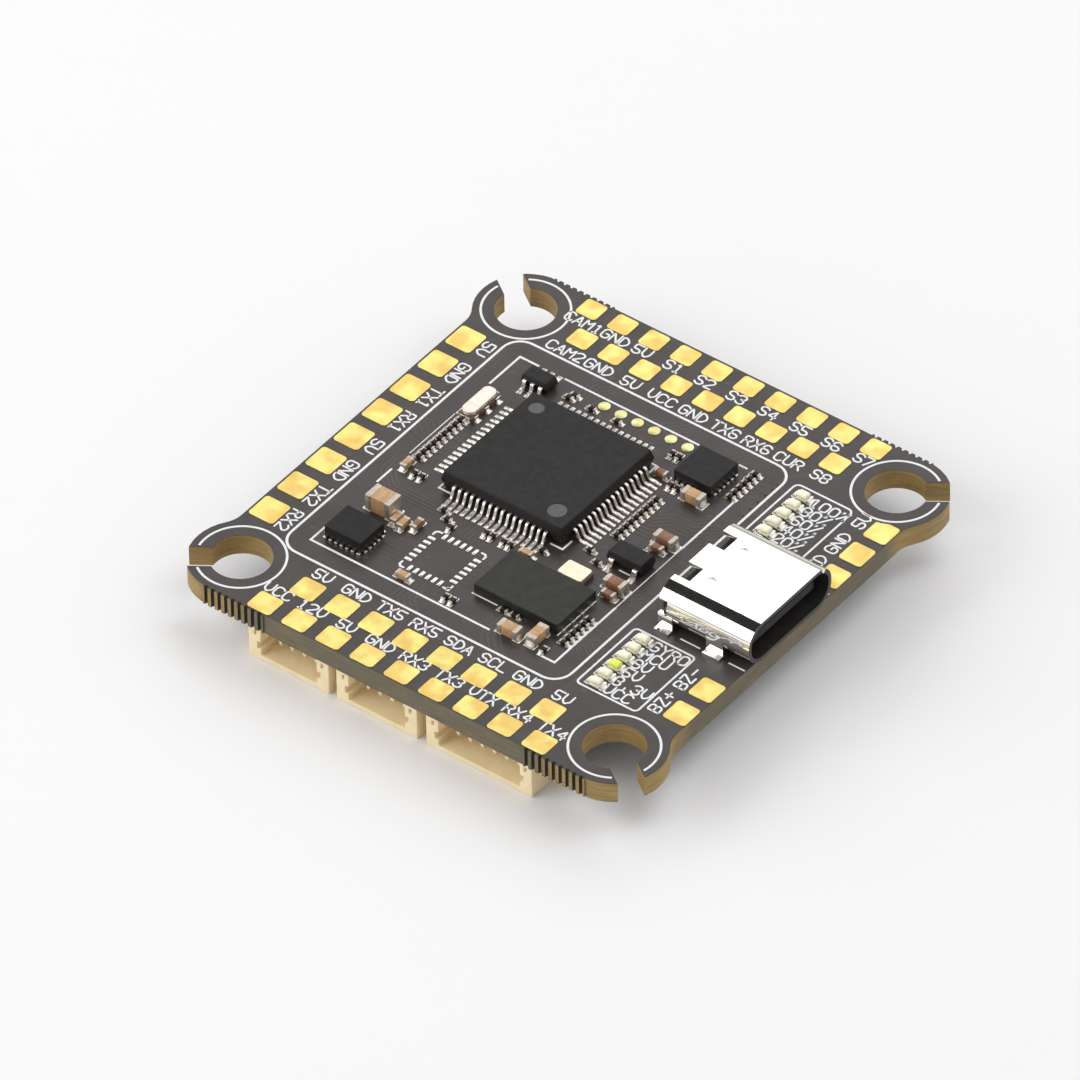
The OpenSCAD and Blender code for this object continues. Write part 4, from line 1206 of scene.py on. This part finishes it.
class FLIGHTBOARD_OT_capacitors(FlightBoardOperator, bpy.types.Operator):
    """Build the ceramic capacitors with their metal ends and solder."""
    bl_idname = "flightboard.capacitors"
    bl_label = "Capacitors"

    def build(self):
        colours = settings().colours
        tan = ceramic_finish("tan_ceramic", colours.tan)
        brown = ceramic_finish("brown_ceramic", colours.brown)
        for size_name, edge in (("large", 0.06), ("small", 0.04)):
            bodies = solids(f"{size_name}_capacitor_bodies")
            ends = solids(f"{size_name}_capacitor_ends")
            bm = bmesh.new()
            for low, high in bodies:
                soft_boxes(bm, [(low, high)], edge * 0.6, 2, self.shade_of(size_name, middle(low, high)))
            make_piece(f"{size_name}_capacitor_bodies_finished", bm, [tan, brown],
                       [f"{size_name}_capacitor_bodies"])
            caps, joints = bmesh.new(), bmesh.new()
            for low, high in ends:
                soft_boxes(caps, [(low, high)], min(edge, (high - low).x * 0.3, (high - low).y * 0.3), 3)
            soldered_ends(joints, ends, bodies, size("toe_reach"), 0.6)
            make_piece(f"{size_name}_capacitor_ends_finished", caps, [matte_tin_finish()],
                       [f"{size_name}_capacitor_ends"])
            make_piece(f"{size_name}_capacitor_solder", joints, [tin_finish()])

    @staticmethod
    def shade_of(size_name, at):
        """0 for tan and 1 for brown."""
        if size_name == "large":
            return 1 if at.x > 5.5 and at.z > 0 else 0
        return 1 if at.x > 1 or abs(at.x + 7.8) < 0.1 else 0


class FLIGHTBOARD_OT_resistors(FlightBoardOperator, bpy.types.Operator):
    """Build the rows of tiny resistors."""
    bl_idname = "flightboard.resistors"
    bl_label = "Resistors"

    def build(self):
        bm = bmesh.new()
        soft_boxes(bm, solids("resistor_bodies"), 0.02)
        make_piece("resistor_bodies_finished", bm, [mould_finish()], ["resistor_bodies"])
        ends, joints = bmesh.new(), bmesh.new()
        soft_boxes(ends, solids("resistor_ends"), 0.03, 2)
        soldered_ends(joints, solids("resistor_ends"), solids("resistor_bodies"), 0.17, 0.85)
        make_piece("resistor_ends_finished", ends, [matte_tin_finish()], ["resistor_ends"])
        make_piece("resistor_solder", joints, [tin_finish()])


class FLIGHTBOARD_OT_leds(FlightBoardOperator, bpy.types.Operator):
    """Build the LEDs: base, lens, metal ends and solder."""
    bl_idname = "flightboard.leds"
    bl_label = "LEDs"

    def build(self):
        colours = settings().colours
        resin = resin_finish("led_resin", colours.resin)
        soft_piece("led_bases", 0.02, resin)
        soft_piece("led_lenses", 0.05, resin, 3, 20)
        soft_piece("status_led_lens", 0.05, resin_finish("status_resin", colours.status),
                   3, 20)
        ends, joints = bmesh.new(), bmesh.new()
        soft_boxes(ends, solids("led_ends"), 0.03, 2)
        soldered_ends(joints, solids("led_ends"), solids("led_bases"), 0.14, 0.8)
        make_piece("led_ends_finished", ends, [tin_finish()], ["led_ends"])
        make_piece("led_solder", joints, [tin_finish()])


class FLIGHTBOARD_OT_usb_socket(FlightBoardOperator, bpy.types.Operator):
    """Build the USB socket: shell, insulator, tongue and contacts."""
    bl_idname = "flightboard.usb_socket"
    bl_label = "USB socket"

    def shell(self):
        """Bright outside; the inside takes a dark colour as painted shade."""
        bm = softened("usb_shell", size("shell_edge"), 3, 30)
        low, high = mm_box("usb_shell")
        centre_z, flat_z = (low.z + high.z) / 2, (high.z - low.z) / 2 - SHELL_ROUND
        lining, _ = mm_box("usb_insulator")
        wall = lining.z - low.z
        flat_y = -lining.y + wall - SHELL_ROUND
        for face in bm.faces:
            at = face.calc_center_median()
            out = Vector((max(abs(at.y) - flat_y, 0), max(abs(at.z - centre_z) - flat_z, 0))).length
            # Faces inside the tube take the second finish, which is painted shade.
            face.material_index = int(out < SHELL_ROUND - wall * 0.8)
        make_piece("usb_shell_finished", bm, [nickel_finish(), shell_inside_shade_finish()], ["usb_shell"])

    def build(self):
        self.shell()
        soft_piece("usb_insulator", 0.05, mould_finish())
        soft_piece("usb_tongue", 0.12, mould_finish(), 3)
        dress("usb_contacts", gold_finish())


class FLIGHTBOARD_OT_plug_sockets(FlightBoardOperator, bpy.types.Operator):
    """Build the plug sockets on the underside."""
    bl_idname = "flightboard.plug_sockets"
    bl_label = "Plug sockets"

    def build(self):
        for side in ("left", "middle", "right", "esc"):
            soft_piece(f"{side}_socket_housing", size("socket_edge"), nylon_finish(), 2)
            soft_piece(f"{side}_socket_contacts", 0.03, tin_finish(), 2)
        soft_piece("socket_anchor_tabs", 0.03, tin_finish(), 2)


class FLIGHTBOARD_OT_power_inductors(FlightBoardOperator, bpy.types.Operator):
    """Build the moulded inductors of the step-down supplies."""
    bl_idname = "flightboard.power_inductors"
    bl_label = "Power inductors"

    def build(self):
        ferrite = grained("pressed_ferrite", settings().colours.ferrite, 0.25, 0.3, (0.5, 0.7), 0.02, 0.12)
        soft_piece("power_inductors", 0.15, ferrite.material, 3)


class FLIGHTBOARD_OT_barometer(FlightBoardOperator, bpy.types.Operator):
    """Build the air pressure sensor with its vented lid."""
    bl_idname = "flightboard.barometer"
    bl_label = "Barometer"

    def build(self):
        dress("barometer_base", ceramic_finish("tan_ceramic", settings().colours.tan))
        soft_piece("barometer_lid", 0.05, nickel_finish(), 3)


class FLIGHTBOARD_OT_boot_button(FlightBoardOperator, bpy.types.Operator):
    """Build the boot button; only its plunger moves."""
    bl_idname = "flightboard.boot_button"
    bl_label = "Boot button"

    def build(self):
        soft_piece("boot_button_base", 0.08, mould_finish())
        soft_piece("boot_button_cover", 0.03, nickel_finish())
        soft_piece("boot_button_terminals", 0.03, tin_finish())
        dress("boot_button_dome", nickel_finish())
        knob = grained("plunger_plastic", (0.74, 0.72, 0.66), 0.05, 0.4, (0.4, 0.55), 0.004, 0.1)
        soft_piece("boot_button_plunger", 0.06, knob.material, 3, body=PLUNGER)


# ------------------------------------------------------------------ stage

def facing_board(thing, direction, distance):
    """Put a light or a card at a distance in a direction, facing the board."""
    away = Vector(direction).normalized()
    thing.location = away * distance
    thing.rotation_mode = "QUATERNION"
    thing.rotation_quaternion = (-away).to_track_quat("-Z", "Y")
    bpy.context.scene.collection.objects.link(thing)
    return thing


def softbox(name, direction, distance, width, height, power):
    data = bpy.data.lights.new(name, "AREA")
    data.shape, data.size, data.size_y, data.energy = "RECTANGLE", width, height, power
    facing_board(bpy.data.objects.new(name, data), direction, distance)


def sheet(name, width, height, material):
    mesh = bpy.data.meshes.new(name)
    x, y = width / 2, height / 2
    mesh.from_pydata([(-x, -y, 0), (x, -y, 0), (x, y, 0), (-x, y, 0)], [], [(0, 1, 2, 3)])
    mesh.materials.append(material)
    return bpy.data.objects.new(name, mesh)


class FLIGHTBOARD_OT_stage(FlightBoardOperator, bpy.types.Operator):
    """Set the floor, the softboxes, the surroundings and the camera."""
    bl_idname = "flightboard.stage"
    bl_label = "Stage"

    def floor(self):
        wide = settings().stage.floor
        floor = sheet("floor", wide, wide, floor_finish())
        floor.location.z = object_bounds()[0].z
        bpy.context.scene.collection.objects.link(floor)
        floor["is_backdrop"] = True

    def card(self):
        """A black card overhead that draws the dark line along the USB shell's shoulder."""
        black = grained("black_card", (0.012, 0.010, 0.009), 0.1, 40.0, (0.8, 0.9)).material
        card = facing_board(sheet("black_card", 0.40, 0.15, black), (-0.459, 0.01, 0.88), 0.42)
        card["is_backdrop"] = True

    def camera(self):
        """A long lens from the front right, a little rolled."""
        stage = settings().stage
        forward = Vector((-0.4592561, 0.5851886, -0.6683099)).normalized()
        right = Vector((0.794506, 0.607086, -0.014398)).normalized()
        up = right.cross(forward).normalized()
        data = bpy.data.cameras.new("camera")
        data.sensor_width, data.lens = 36.0, stage.lens
        data.clip_start, data.clip_end = 0.05, 20.0
        camera = bpy.data.objects.new("camera", data)
        aim = Vector((-0.00076, -0.00218, 0.00138))
        camera.matrix_world = Matrix.Translation(aim - forward * stage.distance) @ Matrix(
            (right, up, -forward)).transposed().to_4x4()
        bpy.context.scene.collection.objects.link(camera)
        bpy.context.scene.camera = camera

    def build(self):
        stage = settings().stage
        self.floor()
        self.card()
        self.camera()
        softbox("back_softbox", (-0.46, 0.62, 0.66), 0.55, 0.50, 0.36, stage.back_power)
        softbox("key_softbox", (-0.66, -0.48, 0.63), 0.55, 0.50, 0.46, stage.key_power)
        softbox("front_softbox", (-0.50, -0.74, 0.42), 0.55, 0.45, 0.36, stage.front_power)
        softbox("top_softbox", (0.45, 0.30, 1.0), 0.60, 0.45, 0.45, stage.top_power)
        softbox("rim_softbox", (0.70, 0.62, 0.42), 0.60, 0.45, 0.30, stage.rim_power)
        world = bpy.data.worlds.new("pale_studio")
        world.use_nodes = True
        sky = world.node_tree.nodes["Background"]
        sky.inputs["Color"].default_value = (0.985, 0.975, 0.97, 1)
        sky.inputs["Strength"].default_value = stage.world
        bpy.context.scene.world = world
        bpy.context.scene.view_settings.view_transform = "Standard"


STEPS = (
    FLIGHTBOARD_OT_laminate, FLIGHTBOARD_OT_solder_mask, FLIGHTBOARD_OT_legends, FLIGHTBOARD_OT_pads,
    FLIGHTBOARD_OT_leaded_chips, FLIGHTBOARD_OT_leadless_chips, FLIGHTBOARD_OT_crystals,
    FLIGHTBOARD_OT_capacitors, FLIGHTBOARD_OT_resistors, FLIGHTBOARD_OT_leds,
    FLIGHTBOARD_OT_usb_socket, FLIGHTBOARD_OT_plug_sockets, FLIGHTBOARD_OT_power_inductors,
    FLIGHTBOARD_OT_barometer, FLIGHTBOARD_OT_boot_button, FLIGHTBOARD_OT_stage,
)


class FLIGHTBOARD_PT_panel(bpy.types.Panel):
    """Lists the settings and the steps."""
    bl_idname = "FLIGHTBOARD_PT_panel"
    bl_label = "Flight Board"
    bl_space_type = "VIEW_3D"
    bl_region_type = "UI"
    bl_category = "Flight Board"

    def draw(self, context):
        board = context.scene.flight_board
        for group in (board.colours, board.sizes, board.stage):
            box = self.layout.box()
            for name in group.__annotations__:
                box.prop(group, name)
        for step in STEPS:
            self.layout.operator(step.bl_idname)


GROUPS = (FlightBoardColours, FlightBoardSizes, FlightBoardStage, FlightBoardSettings)


def register():
    for kind in (*GROUPS, *STEPS, FLIGHTBOARD_PT_panel):
        bpy.utils.register_class(kind)
    bpy.types.Scene.flight_board = PointerProperty(type=FlightBoardSettings, name="Flight board",
                                                   description="Settings of the flight board")


def unregister():
    del bpy.types.Scene.flight_board
    for kind in reversed((*GROUPS, *STEPS, FLIGHTBOARD_PT_panel)):
        bpy.utils.unregister_class(kind)


def main():
    register()
    for step in STEPS:
        family, name = step.bl_idname.split(".")
        getattr(getattr(bpy.ops, family), name)()
    bpy.context.view_layer.update()


if __name__ == "__main__":
    main()
